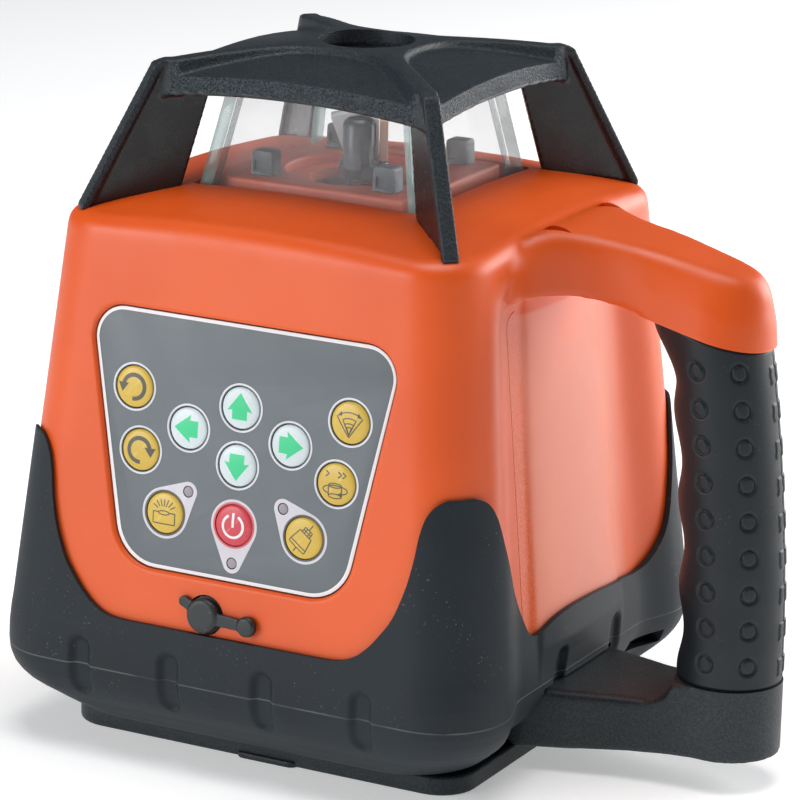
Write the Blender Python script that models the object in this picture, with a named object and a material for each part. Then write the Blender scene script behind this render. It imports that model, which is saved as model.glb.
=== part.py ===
"""Self-levelling rotating laser level, as an assembly of separate solids.

Every dimension below is in millimetres; add_mesh() turns them into metres.
The assembly frame has its z axis on the rotor's axis and z = 0 on the ground.
+X points to the carrying handle and -Y to the keypad.
"""
import math

import bmesh
import bpy
from mathutils import Matrix, Vector

MM = 0.001
GAP = 0.3                     # left between pieces that touch

# Housing: a rounded square that tapers towards the top
TAPER = 0.094                 # loss of half width per unit of height
WALL_HALF = 69.0              # half width at WALL_Z
WALL_Z = 96.7
PLAN_RADIUS = 17.0
HOUSING_FOOT_Z = 21.2
HIDDEN_HALF = 72.5            # the part behind the boot
SHOULDER_Z = 146.0            # where the top edge starts to round over
SHOULDER_RADIUS = 6.0
RIM_HALF = 35.0               # window opening
RIM_Z = 156.6
CEILING_Z = 145.0
WALL = 2.8
SIDE_RECESS = 4.5             # hand recess in the right side
RECESS_FULL_Z = 130.0
RECESS_END_Z = 146.0

# Rubber boot
BOOT_HALF = 77.0
BOOT_WIDEST_Z = 27.0
BOOT_TOP_Z = 89.0
BOOT_EDGE_Z = 40.8            # upper edge between the corner horns
BOOT_PROUD = 1.8
BOOT_RADIUS = 20.0

# Base and tripod thread
BASE_HALF_X = 59.0
BASE_HALF_Y = 54.0
BASE_HEIGHT = 8.0
CHASSIS_Z = 8.3
THREAD_RADIUS = 7.94          # 5/8 inch tripod thread
INSERT_RADIUS = 12.0
INSERT_FLANGE_RADIUS = 15.0

# Carrying handle
GRIP_RADIUS_X = 15.0
GRIP_RADIUS_Y = 14.6
GRIP_FOOT_Z = 30.0
GRIP_FOOT_X = 117.4
GRIP_TOP_Z = 127.0            # seam under the upper arm, at SEAM_X
SEAM_X = 112.0
SEAM_SLOPE = -0.25
CORE_RADIUS = 9.0
FINGER_DEPTH = 2.2
FINGER_PITCH = 23.5
FINGER_VALLEY_Z = 44.0
FOOT_BOTTOM_Z = 9.4
LOWER_ARM_TOP_Z = 24.0
HANDLE_OUT = GRIP_FOOT_X + GRIP_RADIUS_X
ARM_END = 127.7

# Guard cage over the windows
CAGE_HALF = 42.0
CAGE_TOP_Z = 195.3
CAGE_CORNER_Z = 191.0
CAGE_UNDER_Z = 187.0
CAGE_HOLE = 13.5
CAGE_WALL = 3.2
FIN_THICKNESS = 4.6

# Windows and the deck inside them
GLASS_FOOT_HALF = 33.5
GLASS_FOOT_Z = 155.4
GLASS_LEAN = 0.195
GLASS_THICKNESS = 2.0
GLASS_LOW_Z = 150.5
GLASS_HIGH_Z = 186.4
DECK_HALF = 30.3
DECK_Z = 158.0
DISC_RADIUS = 21.8
CLIP_OFFSET = 21.5

# Keypad, in the leaning frame of the front wall
PANEL_DEPTH = 1.2             # below the face of the housing
PANEL_THICKNESS = 3.4
PANEL_TOP_HALF = 48.4
PANEL_FOOT_HALF = 34.8
PANEL_TOP = 30.8
PANEL_FOOT = -40.3
KEY_RADIUS = 5.75
KEY_TRAVEL = 0.45
LED_RADIUS = 1.4

# Charging jack, in the frame of the front wall
JACK_X = -6.6
JACK_Z = 46.5

# Battery door, in the leaning frame of the back wall
DOOR_Z = 74.0
DOOR_HALF_U = 47.0
DOOR_HALF_V = 22.5
DOOR_THICKNESS = 2.6
DOOR_GAP = 0.6
LATCH_U = 36.0

# Levelling gimbal and rotor
PIVOT_Z = 132.0
RING_HALF = 38.0
RING_WALL = 5.0
POST_X = 44.0
PIN_RADIUS = 2.0
PIN_BORE = 2.5
DRIVE_ARM_X = 31.0            # lift screw for the platform
DRIVE_ARM_Y = -48.0           # lift screw for the ring
MOTOR_X = -22.0               # head drive motor
PULLEY_Z = 100.0
PULLEY_HEIGHT = 6.0
SPINDLE_RADIUS = 4.0
HEAD_TURN = math.radians(28.2)  # the way the prism faces at rest

AXIS_X = (BOOT_HALF - HANDLE_OUT) / 2  # centres the whole box on x = 0

COLOURS = {
    "orange": ((0.80, 0.13, 0.02), 0.42, 0.0),
    "rubber": ((0.030, 0.036, 0.042), 0.62, 0.0),
    "black_plastic": ((0.022, 0.026, 0.030), 0.50, 0.0),
    "grey_plastic": ((0.10, 0.13, 0.14), 0.45, 0.0),
    "overlay": ((0.13, 0.15, 0.17), 0.40, 0.0),
    "yellow": ((0.75, 0.55, 0.06), 0.35, 0.0),
    "white": ((0.75, 0.79, 0.82), 0.35, 0.0),
    "red": ((0.62, 0.06, 0.09), 0.35, 0.0),
    "lens": ((0.38, 0.36, 0.38), 0.20, 0.0),
    "glass": ((0.80, 0.86, 0.84), 0.03, 0.0),
    "brass": ((0.72, 0.52, 0.22), 0.30, 1.0),
    "steel": ((0.60, 0.61, 0.63), 0.28, 1.0),
    "aluminium": ((0.70, 0.71, 0.73), 0.38, 1.0),
    "board": ((0.02, 0.16, 0.07), 0.45, 0.0),
    "wrap": ((0.05, 0.16, 0.42), 0.35, 0.0),
}


# ---------------------------------------------------------------- tools

def clear_scene():
    for obj in list(bpy.data.objects):
        bpy.data.objects.remove(obj, do_unlink=True)


def material(name):
    found = bpy.data.materials.get(name)
    if found:
        return found
    colour, roughness, metallic = COLOURS[name]
    made = bpy.data.materials.new(name)
    made.use_nodes = True
    shader = made.node_tree.nodes["Principled BSDF"]
    shader.inputs["Base Color"].default_value = (*colour, 1.0)
    shader.inputs["Roughness"].default_value = roughness
    shader.inputs["Metallic"].default_value = metallic
    if name == "glass":
        shader.inputs["Transmission Weight"].default_value = 0.9
    made.diffuse_color = (*colour, 1.0)
    return made


def smoothstep(low, high, value):
    t = min(1.0, max(0.0, (value - low) / (high - low)))
    return t * t * (3.0 - 2.0 * t)


def add_empty(name, at=(0.0, 0.0, 0.0), turn=(0.0, 0.0, 0.0), parent=None):
    empty = bpy.data.objects.new(name, None)
    bpy.context.collection.objects.link(empty)
    empty.location = Vector(at) * MM
    empty.rotation_euler = turn
    empty.parent = parent
    return empty


def add_mesh(name, bm, colour, parent, origin=(0.0, 0.0, 0.0), smooth=35.0):
    """Makes an object from a mesh in millimetres, with its own origin."""
    bmesh.ops.recalc_face_normals(bm, faces=bm.faces[:])
    bmesh.ops.transform(bm, matrix=Matrix.Scale(MM, 4) @ Matrix.Translation(-Vector(origin)),
                        verts=bm.verts[:])
    mesh = bpy.data.meshes.new(name)
    bm.to_mesh(mesh)
    bm.free()
    mesh.shade_smooth()
    mesh.set_sharp_from_angle(angle=math.radians(smooth))
    mesh.materials.append(material(colour))
    obj = bpy.data.objects.new(name, mesh)
    bpy.context.collection.objects.link(obj)
    obj.location = Vector(origin) * MM
    obj.parent = parent
    return obj


def add_boolean(target, other, operation):
    other.hide_render = True
    other.display_type = "WIRE"
    modifier = target.modifiers.new(other.name, "BOOLEAN")
    modifier.operation = operation
    modifier.object = other
    modifier.solver = "EXACT"


def cut(target, cutter):
    add_boolean(target, cutter, "DIFFERENCE")


def join(target, other):
    add_boolean(target, other, "UNION")


def skin(bm, rows):
    """Joins closed rows of vertices, each to the next."""
    for low, high in zip(rows, rows[1:]):
        for i in range(len(low)):
            j = (i + 1) % len(low)
            bm.faces.new((low[i], low[j], high[j], high[i]))


def loft(rings):
    """Skins closed rings of equal length, the first and last capped."""
    bm = bmesh.new()
    rows = [[bm.verts.new(point) for point in ring] for ring in rings]
    skin(bm, rows)
    bm.faces.new(rows[0][::-1])
    bm.faces.new(rows[-1])
    return bm


def at_height(outline, z):
    return [(x, y, z) for x, y in outline]


def prism(outline, low, high):
    return loft([at_height(outline, low), at_height(outline, high)])


def box(low, high):
    (x0, y0, z0), (x1, y1, z1) = low, high
    return prism([(x0, y0), (x1, y0), (x1, y1), (x0, y1)], z0, z1)


def arc(centre, radius, start, end, steps):
    """Points of an arc in degrees, both ends included."""
    points = []
    for i in range(steps + 1):
        a = math.radians(start + (end - start) * i / steps)
        points.append((centre[0] + radius * math.cos(a), centre[1] + radius * math.sin(a)))
    return points


def circle(radius, steps=24, centre=(0.0, 0.0)):
    return arc(centre, radius, 0.0, 360.0, steps)[:-1]


def rounded_box(half_x, half_y, radius, steps=4):
    """A rounded rectangle about the origin, counterclockwise."""
    cx, cy = half_x - radius, half_y - radius
    corners = [((cx, cy), 0), ((-cx, cy), 90), ((-cx, -cy), 180), ((cx, -cy), 270)]
    return [p for c, start in corners for p in arc(c, radius, start, start + 90, steps)]


def rounded_polygon(corners, steps=4):
    """Rounds each (x, y, radius) corner of a convex counterclockwise polygon."""
    points = []
    count = len(corners)
    for i, (x, y, radius) in enumerate(corners):
        here = Vector((x, y))
        back = (Vector(corners[i - 1][:2]) - here).normalized()
        ahead = (Vector(corners[(i + 1) % count][:2]) - here).normalized()
        half = back.angle(ahead) / 2.0
        centre = here + (back + ahead).normalized() * radius / math.sin(half)
        start = here + back * radius / math.tan(half) - centre
        sweep = math.pi - 2.0 * half
        for k in range(steps + 1):
            turned = start.copy()
            turned.rotate(Matrix.Rotation(sweep * k / steps, 2))
            points.append(tuple(centre + turned))
    return points


def turned(profile, steps=24, closed=False):
    """Spins (radius, z) points about z. A closed profile makes a ring."""
    bm = bmesh.new()
    verts = [bm.verts.new((r, 0.0, z)) for r, z in profile]
    pairs = list(zip(verts, verts[1:]))
    if closed:
        pairs.append((verts[-1], verts[0]))
    edges = [bm.edges.new(pair) for pair in pairs]
    bmesh.ops.spin(bm, geom=verts + edges, axis=(0, 0, 1), cent=(0, 0, 0),
                   angle=2.0 * math.pi, steps=steps, use_merge=True)
    bmesh.ops.remove_doubles(bm, verts=bm.verts[:], dist=0.001)
    return bm


def moved(bm, offset=(0.0, 0.0, 0.0), matrix=None):
    """Turns a mesh by matrix, then shifts it."""
    whole = Matrix.Translation(offset) @ (matrix.to_4x4() if matrix else Matrix())
    bmesh.ops.transform(bm, matrix=whole, verts=bm.verts[:])
    return bm


def along(axis):
    """The turn that takes +Z to the named axis."""
    turns = {"X": Matrix.Rotation(math.pi / 2, 3, "Y"), "Y": Matrix.Rotation(-math.pi / 2, 3, "X")}
    return turns[axis]


# ---------------------------------------------------------------- shared shapes

def wall_half(z):
    """Half width of the housing's outer wall at a height."""
    return WALL_HALF - TAPER * (z - WALL_Z)


SIDE_STATIONS = [0.98, 0.87, 0.77, 0.66, 0.5, 0.46, 0.23]
RIGHT_STATIONS = [-t for t in SIDE_STATIONS] + [0.0] + SIDE_STATIONS[::-1]
PLAIN_STATIONS = [-0.5, 0.0, 0.5]


def side_inset(t, depth, panel):
    """How far the right side lies inside the plain wall at station t."""
    inset = depth * (1.0 - smoothstep(0.66, 0.98, abs(t)))
    if panel and abs(t) < 0.47:
        inset -= depth / SIDE_RECESS * (0.7 + 1.9 * (1.0 - (t / 0.47) ** 2))
    return inset


def body_ring(half, radius, z, recess=0.0, crown=0.0, panel=True, corner_steps=4):
    """A rounded square with a hand recess on its right and raised side middles."""
    reach = half - radius
    sides = [RIGHT_STATIONS, PLAIN_STATIONS, PLAIN_STATIONS, PLAIN_STATIONS]
    ring = []
    for k, stations in enumerate(sides):
        spin = Matrix.Rotation(k * math.pi / 2, 2)
        points = []
        for t in stations:
            inset = side_inset(t, recess, panel) if k == 0 else 0.0
            points.append((half - inset, t * reach, z + crown * (1.0 - t * t)))
        for x, y in arc((reach, reach), radius, 0.0, 90.0, corner_steps):
            points.append((x, y, z))
        for x, y, height in points:
            flat = spin @ Vector((x, y))
            ring.append((flat.x, flat.y, height))
    return ring


def recess_at(z):
    return SIDE_RECESS * (1.0 - smoothstep(RECESS_FULL_Z, RECESS_END_Z, z))


def housing_rings():
    rings = [body_ring(HIDDEN_HALF, PLAN_RADIUS, HOUSING_FOOT_Z, SIDE_RECESS)]
    rings.append(body_ring(HIDDEN_HALF, PLAN_RADIUS, 37.0, SIDE_RECESS))
    for z in (39.5, RECESS_FULL_Z, 135.0, 141.0, SHOULDER_Z):
        rings.append(body_ring(wall_half(z), PLAN_RADIUS, z, recess_at(z)))
    top_half = wall_half(SHOULDER_Z)
    for angle in (30.0, 65.0):
        a = math.radians(angle)
        shrink = SHOULDER_RADIUS * (1.0 - math.cos(a))
        rings.append(body_ring(top_half - shrink, PLAN_RADIUS - shrink,
                               SHOULDER_Z + SHOULDER_RADIUS * math.sin(a) * 0.85, 0.0,
                               2.0 * math.sin(a)))
    rings.append(body_ring(52.0, 8.0, 153.0, 0.0, 1.6))
    rings.append(body_ring(RIM_HALF + 1.0, 4.0, RIM_Z - 0.4, 0.0, 0.8))
    rings.append(body_ring(RIM_HALF - 4.0, 3.0, RIM_Z, 0.0, 0.4))
    return rings


def seam_z(x):
    """Height of the slanted seam between grip and upper arm."""
    return GRIP_TOP_Z + SEAM_SLOPE * (x - SEAM_X)


def arm_top(x):
    return 152.2 - 0.00235 * max(0.0, x - 62.0) ** 2 + 0.02 * max(0.0, x - 112.0)


def arm_bottom(x):
    """Arched near the housing, then down to the seam with the grip."""
    if x > 94.0:
        return seam_z(x) + GAP
    return seam_z(94.0) + GAP + 3.0 * math.sin(math.pi * (94.0 - x) / 60.0)


def arm_outline(inset):
    """Plan of the upper arm, symmetric about y = 0, from root to root."""
    half = 16.0
    fillet = arc((77.0, -30.0), 14.0 + inset, 180.0, 90.0, 4)
    end = arc((ARM_END - half, 0.0), half - inset, -90.0, 0.0, 5)
    straight = [(x, inset - half) for x in (86.0, 94.0, 103.0)]
    lower = [(48.0, -30.0)] + fillet + straight + end
    upper = [(x, -y) for x, y in lower[-2::-1]]
    return lower + upper


def upper_arm():
    """The housing's arm over the grip, with rounded upper edges."""
    bm = bmesh.new()
    rows = []
    low = arm_outline(0.0)
    rows.append([(x, y, arm_bottom(x)) for x, y in low])
    for angle in (0.0, 45.0, 90.0):
        a = math.radians(angle)
        ring = arm_outline(4.5 * (1.0 - math.cos(a)))
        rows.append([(x, y, arm_top(x) - 4.5 * (1.0 - math.sin(a))) for x, y in ring])
    verts = [[bm.verts.new(p) for p in row] for row in rows]
    skin(bm, verts)
    count = len(low)
    for row in (verts[0], verts[-1]):
        for i in range(count // 2):
            j = count - 1 - i
            corners = [row[i], row[i + 1], row[j - 1], row[j]]
            unique = list(dict.fromkeys(corners))
            if len(unique) > 2:
                bm.faces.new(unique)
    return bm


def panel_outline(grow=0.0):
    """The keypad's rounded trapezoid in the front wall's frame."""
    top, foot = PANEL_TOP + grow, PANEL_FOOT - grow
    return rounded_polygon([
        (PANEL_TOP_HALF + grow, top, 9.0 + grow), (-PANEL_TOP_HALF - grow, top, 9.0 + grow),
        (-PANEL_FOOT_HALF - grow, foot, 13.0 + grow), (PANEL_FOOT_HALF + grow, foot, 13.0 + grow),
    ], 5)


def boot_window(half):
    """Outline of one boot opening in (across, z), wide at the top."""
    return rounded_polygon([
        (half + 14.0, 110.0, 2.0), (-half - 14.0, 110.0, 2.0),
        (-half, BOOT_EDGE_Z, 14.0), (half, BOOT_EDGE_Z, 14.0),
    ], 5)


# ---------------------------------------------------------------- casings

def make_housing(root, front, back, jack):
    housing = add_mesh("main_housing", loft(housing_rings()), "orange", root)
    join(housing, add_mesh("arm_shape", upper_arm(), "orange", root))
    inner = []
    for z in (10.0, 37.0, 39.5, RECESS_FULL_Z, 138.0, CEILING_Z):
        half = HIDDEN_HALF if z < 38.0 else wall_half(z)
        recess = recess_at(min(z, 138.0))
        inner.append(body_ring(half - WALL, PLAN_RADIUS - WALL, z, recess, panel=False, corner_steps=2))
    cut(housing, add_mesh("housing_hollow", loft(inner), "orange", root))
    cut(housing, add_mesh("window_seat", prism(rounded_box(RIM_HALF, RIM_HALF, 2.0, 2), 147.0, 165.0),
                          "orange", root))
    cut(housing, add_mesh("window_way", prism(rounded_box(32.0, 32.0, 1.5, 2), 140.0, 150.0),
                          "orange", root))
    cut(housing, add_mesh("keypad_opening", prism(panel_outline(0.35), -12.0, 6.0), "orange", front))
    cut(housing, add_mesh("jack_opening", prism(circle(5.6, 20), -12.0, 5.0), "orange", jack))
    door = rounded_box(DOOR_HALF_U + DOOR_GAP, DOOR_HALF_V + DOOR_GAP, 1.2, 2)
    cut(housing, add_mesh("door_opening", prism(door, -12.0, 5.0), "orange", back))
    for side in (-1, 1):
        tip = [(63.0, side * 16.5 - 3.3), (72.0, side * 16.5), (63.0, side * 16.5 + 3.3)]
        cut(housing, add_mesh(f"sight_notch_{side}", prism(tip, 150.2, 160.0), "orange", root))
    for k in range(4):
        cut(housing, add_mesh(f"fin_slot_{k}", fin_tenon(k, 0.35), "orange", root))
    cut(housing, add_mesh("housing_arm_way", lower_arm(0.45, -3.0), "orange", root))
    return housing


def fin_tenon(k, grow):
    """The foot of a cage fin, which passes through the housing's roof."""
    half = FIN_THICKNESS / 2.0 + grow
    bm = box((54.0 - grow, -half, 149.0 - grow), (66.0 + grow, half, 160.0))
    return moved(bm, matrix=Matrix.Rotation(math.radians(45.0 + 90.0 * k), 3, "Z"))


def boot_profile():
    """(z, outer half, inner half) from the underside to above the horns."""
    rows = [(CHASSIS_Z, 59.5, 56.6), (10.0, 63.5, 59.4), (13.0, 69.0, 65.0), (17.0, 73.6, 69.6),
            (21.0, 75.9, HIDDEN_HALF + 0.35), (BOOT_WIDEST_Z, BOOT_HALF, HIDDEN_HALF + 0.35),
            (37.0, 76.4, HIDDEN_HALF + 0.4)]
    for z in (39.5, BOOT_TOP_Z):
        rows.append((z, wall_half(z) + BOOT_PROUD, wall_half(z) + 0.35))
    return rows


def make_boot(root):
    outer, inner = [], []
    for z, out_half, in_half in boot_profile():
        outer.append(body_ring(out_half, BOOT_RADIUS, z, SIDE_RECESS, panel=False))
        inner.append(body_ring(in_half, PLAN_RADIUS + 0.35, z, SIDE_RECESS))
    first, last = inner[0], inner[-1]
    inner.insert(0, [(x, y, z - 3.0) for x, y, z in first])
    inner.append([(x, y, z + 3.0) for x, y, z in last])
    boot = add_mesh("rubber_boot", loft(outer), "rubber", root)
    cut(boot, add_mesh("boot_hollow", loft(inner), "rubber", root))
    for k in range(2):
        window = prism(boot_window(46.5), -100.0, 100.0)
        upright = Matrix.Rotation(k * math.pi / 2, 3, "Z") @ Matrix.Rotation(math.pi / 2, 3, "X")
        cut(boot, add_mesh(f"boot_window_{k}", moved(window, matrix=upright), "rubber", root))
    cut(boot, add_mesh("boot_arm_way", lower_arm(0.45, -3.0), "rubber", root))
    return boot


def lower_arm(grow, drop):
    """The arm under the boot that carries the foot of the handle."""
    top, low = LOWER_ARM_TOP_Z + grow, CHASSIS_Z + 0.4 + drop
    half = [(44.0, 25.0), (66.0, 24.0), (78.0, 21.0), (92.0, 16.8), (104.0, 14.4), (GRIP_FOOT_X, 13.0)]
    outline = [(x, -w - grow) for x, w in half] + [(x, w + grow) for x, w in half[::-1]]
    return prism(outline, low, top)


def make_chassis(root):
    rows = [(CHASSIS_Z, 56.0), (10.0, 58.8), (13.0, 64.4), (17.0, 69.0), (20.2, 71.6)]
    rings = [body_ring(half, PLAN_RADIUS, z, SIDE_RECESS, panel=False, corner_steps=3)
             for z, half in rows]
    chassis = add_mesh("lower_chassis", loft(rings), "black_plastic", root)
    hollow = [body_ring(half - 3.0, PLAN_RADIUS - 3.0, z, SIDE_RECESS, panel=False, corner_steps=3)
              for z, half in ((12.0, 62.0), (17.0, 69.0), (24.0, 73.0))]
    cut(chassis, add_mesh("chassis_hollow", loft(hollow), "black_plastic", root))
    arm = lower_arm(0.0, 0.5)
    join(chassis, add_mesh("lower_arm_shape", arm, "black_plastic", root))
    outline = circle(GRIP_RADIUS_X - 0.1, 24, (GRIP_FOOT_X, 0.0))
    join(chassis, add_mesh("foot_shape", prism(outline, FOOT_BOTTOM_Z - 0.1, GRIP_FOOT_Z - GAP),
                           "black_plastic", root))
    cut(chassis, add_mesh("insert_way", prism(circle(INSERT_RADIUS + 0.4, 24), 0.0, 40.0),
                          "black_plastic", root))
    pocket = rounded_box(16.0, 18.0, 3.0, 2)
    pocket = [(x + 52.0, y) for x, y in pocket]
    cut(chassis, add_mesh("arm_lightening", prism(pocket, 12.0, 40.0), "black_plastic", root))
    return chassis


def make_base(root):
    outline = rounded_box(BASE_HALF_X, BASE_HALF_Y, 10.0, 4)
    small = rounded_box(BASE_HALF_X - 1.2, BASE_HALF_Y - 1.2, 9.0, 4)
    rings = [at_height(small, 0.0), at_height(outline, 1.2), at_height(outline, BASE_HEIGHT)]
    base = add_mesh("base_plate", loft(rings), "black_plastic", root)
    tab = moved(prism(rounded_box(9.5, 6.0, 3.0, 3), 0.0, 5.0), (3.0, -BASE_HALF_Y + 1.8, 0.0))
    join(base, add_mesh("base_tab", tab, "black_plastic", root))
    cut(base, add_mesh("base_bore", prism(circle(INSERT_FLANGE_RADIUS + 0.4, 28), -5.0, 20.0),
                       "black_plastic", root))
    return base


def make_tripod_insert(root):
    profile = [(THREAD_RADIUS, 24.0), (INSERT_RADIUS, 24.0), (INSERT_RADIUS, 7.9),
               (INSERT_FLANGE_RADIUS, 7.9), (INSERT_FLANGE_RADIUS, 0.4), (THREAD_RADIUS, 0.4)]
    return add_mesh("tripod_thread_insert", turned(profile, 20, closed=True), "brass", root)


# ---------------------------------------------------------------- handle

def handle_centre(z):
    """The grip's curved centre line: x at a height."""
    return GRIP_FOOT_X - 0.00076 * max(0.0, z - 35.0) ** 2


def grip_ring(share, shrink_x, shrink_y, steps, fingers):
    """One ring of the grip between its flat foot and its slanted top."""
    top = seam_z(handle_centre(GRIP_TOP_Z))
    z0 = GRIP_FOOT_Z + share * (top - GRIP_FOOT_Z)
    ring = []
    for i in range(steps):
        a = 2.0 * math.pi * i / steps
        rx, ry = GRIP_RADIUS_X - shrink_x, GRIP_RADIUS_Y - shrink_y
        if fingers:
            wave = 0.5 + 0.5 * math.cos(2.0 * math.pi * (z0 - FINGER_VALLEY_Z) / FINGER_PITCH)
            rx -= FINGER_DEPTH * wave * max(0.0, -math.cos(a)) ** 1.5
        x = handle_centre(z0) + rx * math.cos(a)
        z = GRIP_FOOT_Z + share * (seam_z(x) - GRIP_FOOT_Z)
        ring.append((x, ry * math.sin(a), z))
    return ring


def make_handle(root):
    rings = [grip_ring(k / 18.0, 0.0, 0.0, 20, True) for k in range(19)]
    grip = add_mesh("handle_grip", loft(rings), "rubber", root)
    bore = []
    for share in (-0.06, 0.0, 0.25, 0.5, 0.75, 1.0, 1.06):
        shrink = GRIP_RADIUS_X - CORE_RADIUS - GAP
        bore.append(grip_ring(share, shrink, GRIP_RADIUS_Y - CORE_RADIUS - GAP, 12, False))
    cut(grip, add_mesh("grip_bore", loft(bore), "rubber", root))
    core = []
    for share in (0.0, 0.25, 0.5, 0.75, 1.0):
        core.append(grip_ring(share, GRIP_RADIUS_X - CORE_RADIUS, GRIP_RADIUS_Y - CORE_RADIUS, 12, False))
    return grip, add_mesh("handle_core", loft(core), "black_plastic", root)


# ---------------------------------------------------------------- cage and windows

def cage_top(x, y):
    """Domed plate with four scooped petals, one per side."""
    out = max(abs(x), abs(y)) / CAGE_HALF
    dome = CAGE_TOP_Z - (CAGE_TOP_Z - CAGE_CORNER_Z) * out * out
    across, ahead = sorted((abs(x), abs(y)))
    inside = 1.0 - (across / 37.0) ** 2 - ((CAGE_HALF - ahead) / 26.0) ** 2
    petal = 193.4 - 3.7 * (ahead / CAGE_HALF) ** 2 - 2.2 * (across / 37.0) ** 2
    return dome + (petal - dome) * smoothstep(0.0, 0.16, inside)


def cage_block():
    """The roof plate down to the arched lower edge of its rim."""
    steps = 14
    bm = bmesh.new()
    grid = []
    for i in range(steps + 1):
        row = []
        for j in range(steps + 1):
            x = CAGE_HALF * (2.0 * i / steps - 1.0)
            y = CAGE_HALF * (2.0 * j / steps - 1.0)
            row.append(bm.verts.new((x, y, cage_top(x, y))))
        grid.append(row)
    for i in range(steps):
        for j in range(steps):
            bm.faces.new((grid[i][j], grid[i + 1][j], grid[i + 1][j + 1], grid[i][j + 1]))
    edge = [grid[i][0] for i in range(steps)] + [grid[steps][j] for j in range(steps)]
    edge += [grid[i][steps] for i in range(steps, 0, -1)] + [grid[0][j] for j in range(steps, 0, -1)]
    low = []
    for vert in edge:
        x, y, _ = vert.co
        across = min(abs(x), abs(y)) / CAGE_HALF
        low.append(bm.verts.new((x * 1.02, y * 1.02, 181.0 + 3.0 * (1.0 - across * across))))
    centre = bm.verts.new((0.0, 0.0, 183.0))
    for i in range(len(edge)):
        j = (i + 1) % len(edge)
        bm.faces.new((edge[i], edge[j], low[j], low[i]))
        bm.faces.new((low[i], low[j], centre))
    return bm


def fin_shape(k):
    """One diagonal guard fin; its outline is in (distance from the axis, z)."""
    root2 = math.sqrt(2.0)
    outline = [(37.2 * root2, 156.4), (54.4, 155.2), (54.4, 150.0), (65.6, 150.0), (65.6, 156.0),
               (57.0 * root2, 151.9), (57.2 * root2, 153.0), (42.6 * root2, 190.4),
               (40.5 * root2, 191.6), (30.6 * root2, 188.0), (32.2 * root2, 180.0)]
    half = FIN_THICKNESS / 2.0
    bm = prism(outline, -half, half)
    upright = Matrix.Rotation(math.radians(45.0 + 90.0 * k), 3, "Z") @ Matrix.Rotation(math.pi / 2, 3, "X")
    return moved(bm, matrix=upright)


def make_cage(root):
    cage = add_mesh("lighthouse_cage", cage_block(), "black_plastic", root)
    inner = CAGE_HALF - CAGE_WALL
    cut(cage, add_mesh("cage_pocket", prism(rounded_box(inner, inner, 2.0, 2), 170.0, CAGE_UNDER_Z),
                       "black_plastic", root))
    boss = [(17.5, 182.6), (17.5, 188.0)]
    join(cage, add_mesh("cage_boss", prism(circle(boss[0][0], 28), boss[0][1], boss[1][1]),
                        "black_plastic", root))
    cut(cage, add_mesh("cage_hole", prism(circle(CAGE_HOLE, 28), 183.8, 200.0), "black_plastic", root))
    cut(cage, add_mesh("cage_way", prism(circle(11.5, 28), 178.0, 186.0), "black_plastic", root))
    for k in range(4):
        join(cage, add_mesh(f"cage_fin_{k}", fin_shape(k), "black_plastic", root))
    return cage


def glass_half(z):
    return GLASS_FOOT_HALF - GLASS_LEAN * (z - GLASS_FOOT_Z)


def make_windows(root):
    names = ("window_front", "window_right", "window_back", "window_left")
    for k, name in enumerate(names):
        rings = []
        for z in (GLASS_LOW_Z, GLASS_HIGH_Z):
            out = glass_half(z)
            inn = out - GLASS_THICKNESS
            edge = 0.2
            rings.append([(-out + edge, -out, z), (out - edge, -out, z),
                          (inn - edge, -inn, z), (-inn + edge, -inn, z)])
        bm = moved(loft(rings), matrix=Matrix.Rotation(k * math.pi / 2, 3, "Z"))
        add_mesh(name, bm, "glass", root)
    outer = rounded_box(34.6, 34.6, 1.5, 2)
    gasket = add_mesh("window_gasket", prism(outer, 147.3, GLASS_LOW_Z - GAP), "rubber", root)
    cut(gasket, add_mesh("gasket_way", prism(rounded_box(31.0, 31.0, 1.0, 2), 140.0, 160.0),
                         "rubber", root))
    profile = [(0.0, 186.6), (CAGE_HOLE - 0.4, 186.6), (CAGE_HOLE - 0.4, 184.1), (0.0, 184.1)]
    add_mesh("plumb_beam_window", turned(profile, 28), "glass", root)


def make_deck(root):
    deck = add_mesh("window_deck", prism(rounded_box(DECK_HALF, DECK_HALF, 1.5, 2), 142.0, DECK_Z),
                    "orange", root)
    join(deck, add_mesh("deck_flange", prism(rounded_box(38.0, 38.0, 3.0, 2), 142.0, 144.7),
                        "orange", root))
    cut(deck, add_mesh("deck_hollow", prism(rounded_box(27.8, 27.8, 1.5, 2), 135.0, 152.5),
                       "orange", root))
    cut(deck, add_mesh("deck_disc", prism(circle(DISC_RADIUS, 36), DECK_Z - 2.5, 170.0), "orange", root))
    cut(deck, add_mesh("deck_hole", prism(circle(12.5, 28), 140.0, 170.0), "orange", root))
    names = {(-1, -1): "front_left", (1, -1): "front_right", (1, 1): "back_right", (-1, 1): "back_left"}
    for (sx, sy), name in names.items():
        at = (sx * CLIP_OFFSET, sy * CLIP_OFFSET, DECK_Z + GAP)
        outline = [(-3.6, 0.0), (3.6, 0.0), (3.6, 6.6), (1.0, 7.2), (-1.6, 6.2), (-1.6, 4.6),
                   (0.2, 3.6), (0.2, 2.4), (-3.6, 2.0)]
        clip = moved(prism(outline, -2.6, 2.6), matrix=Matrix.Rotation(math.pi / 2, 3, "X"))
        facing = Matrix.Rotation(0.0 if sx > 0 else math.pi, 3, "Z")
        add_mesh(f"deck_clip_{name}", moved(moved(clip, matrix=facing), at), "grey_plastic", root)


# ---------------------------------------------------------------- keypad and jack

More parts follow.
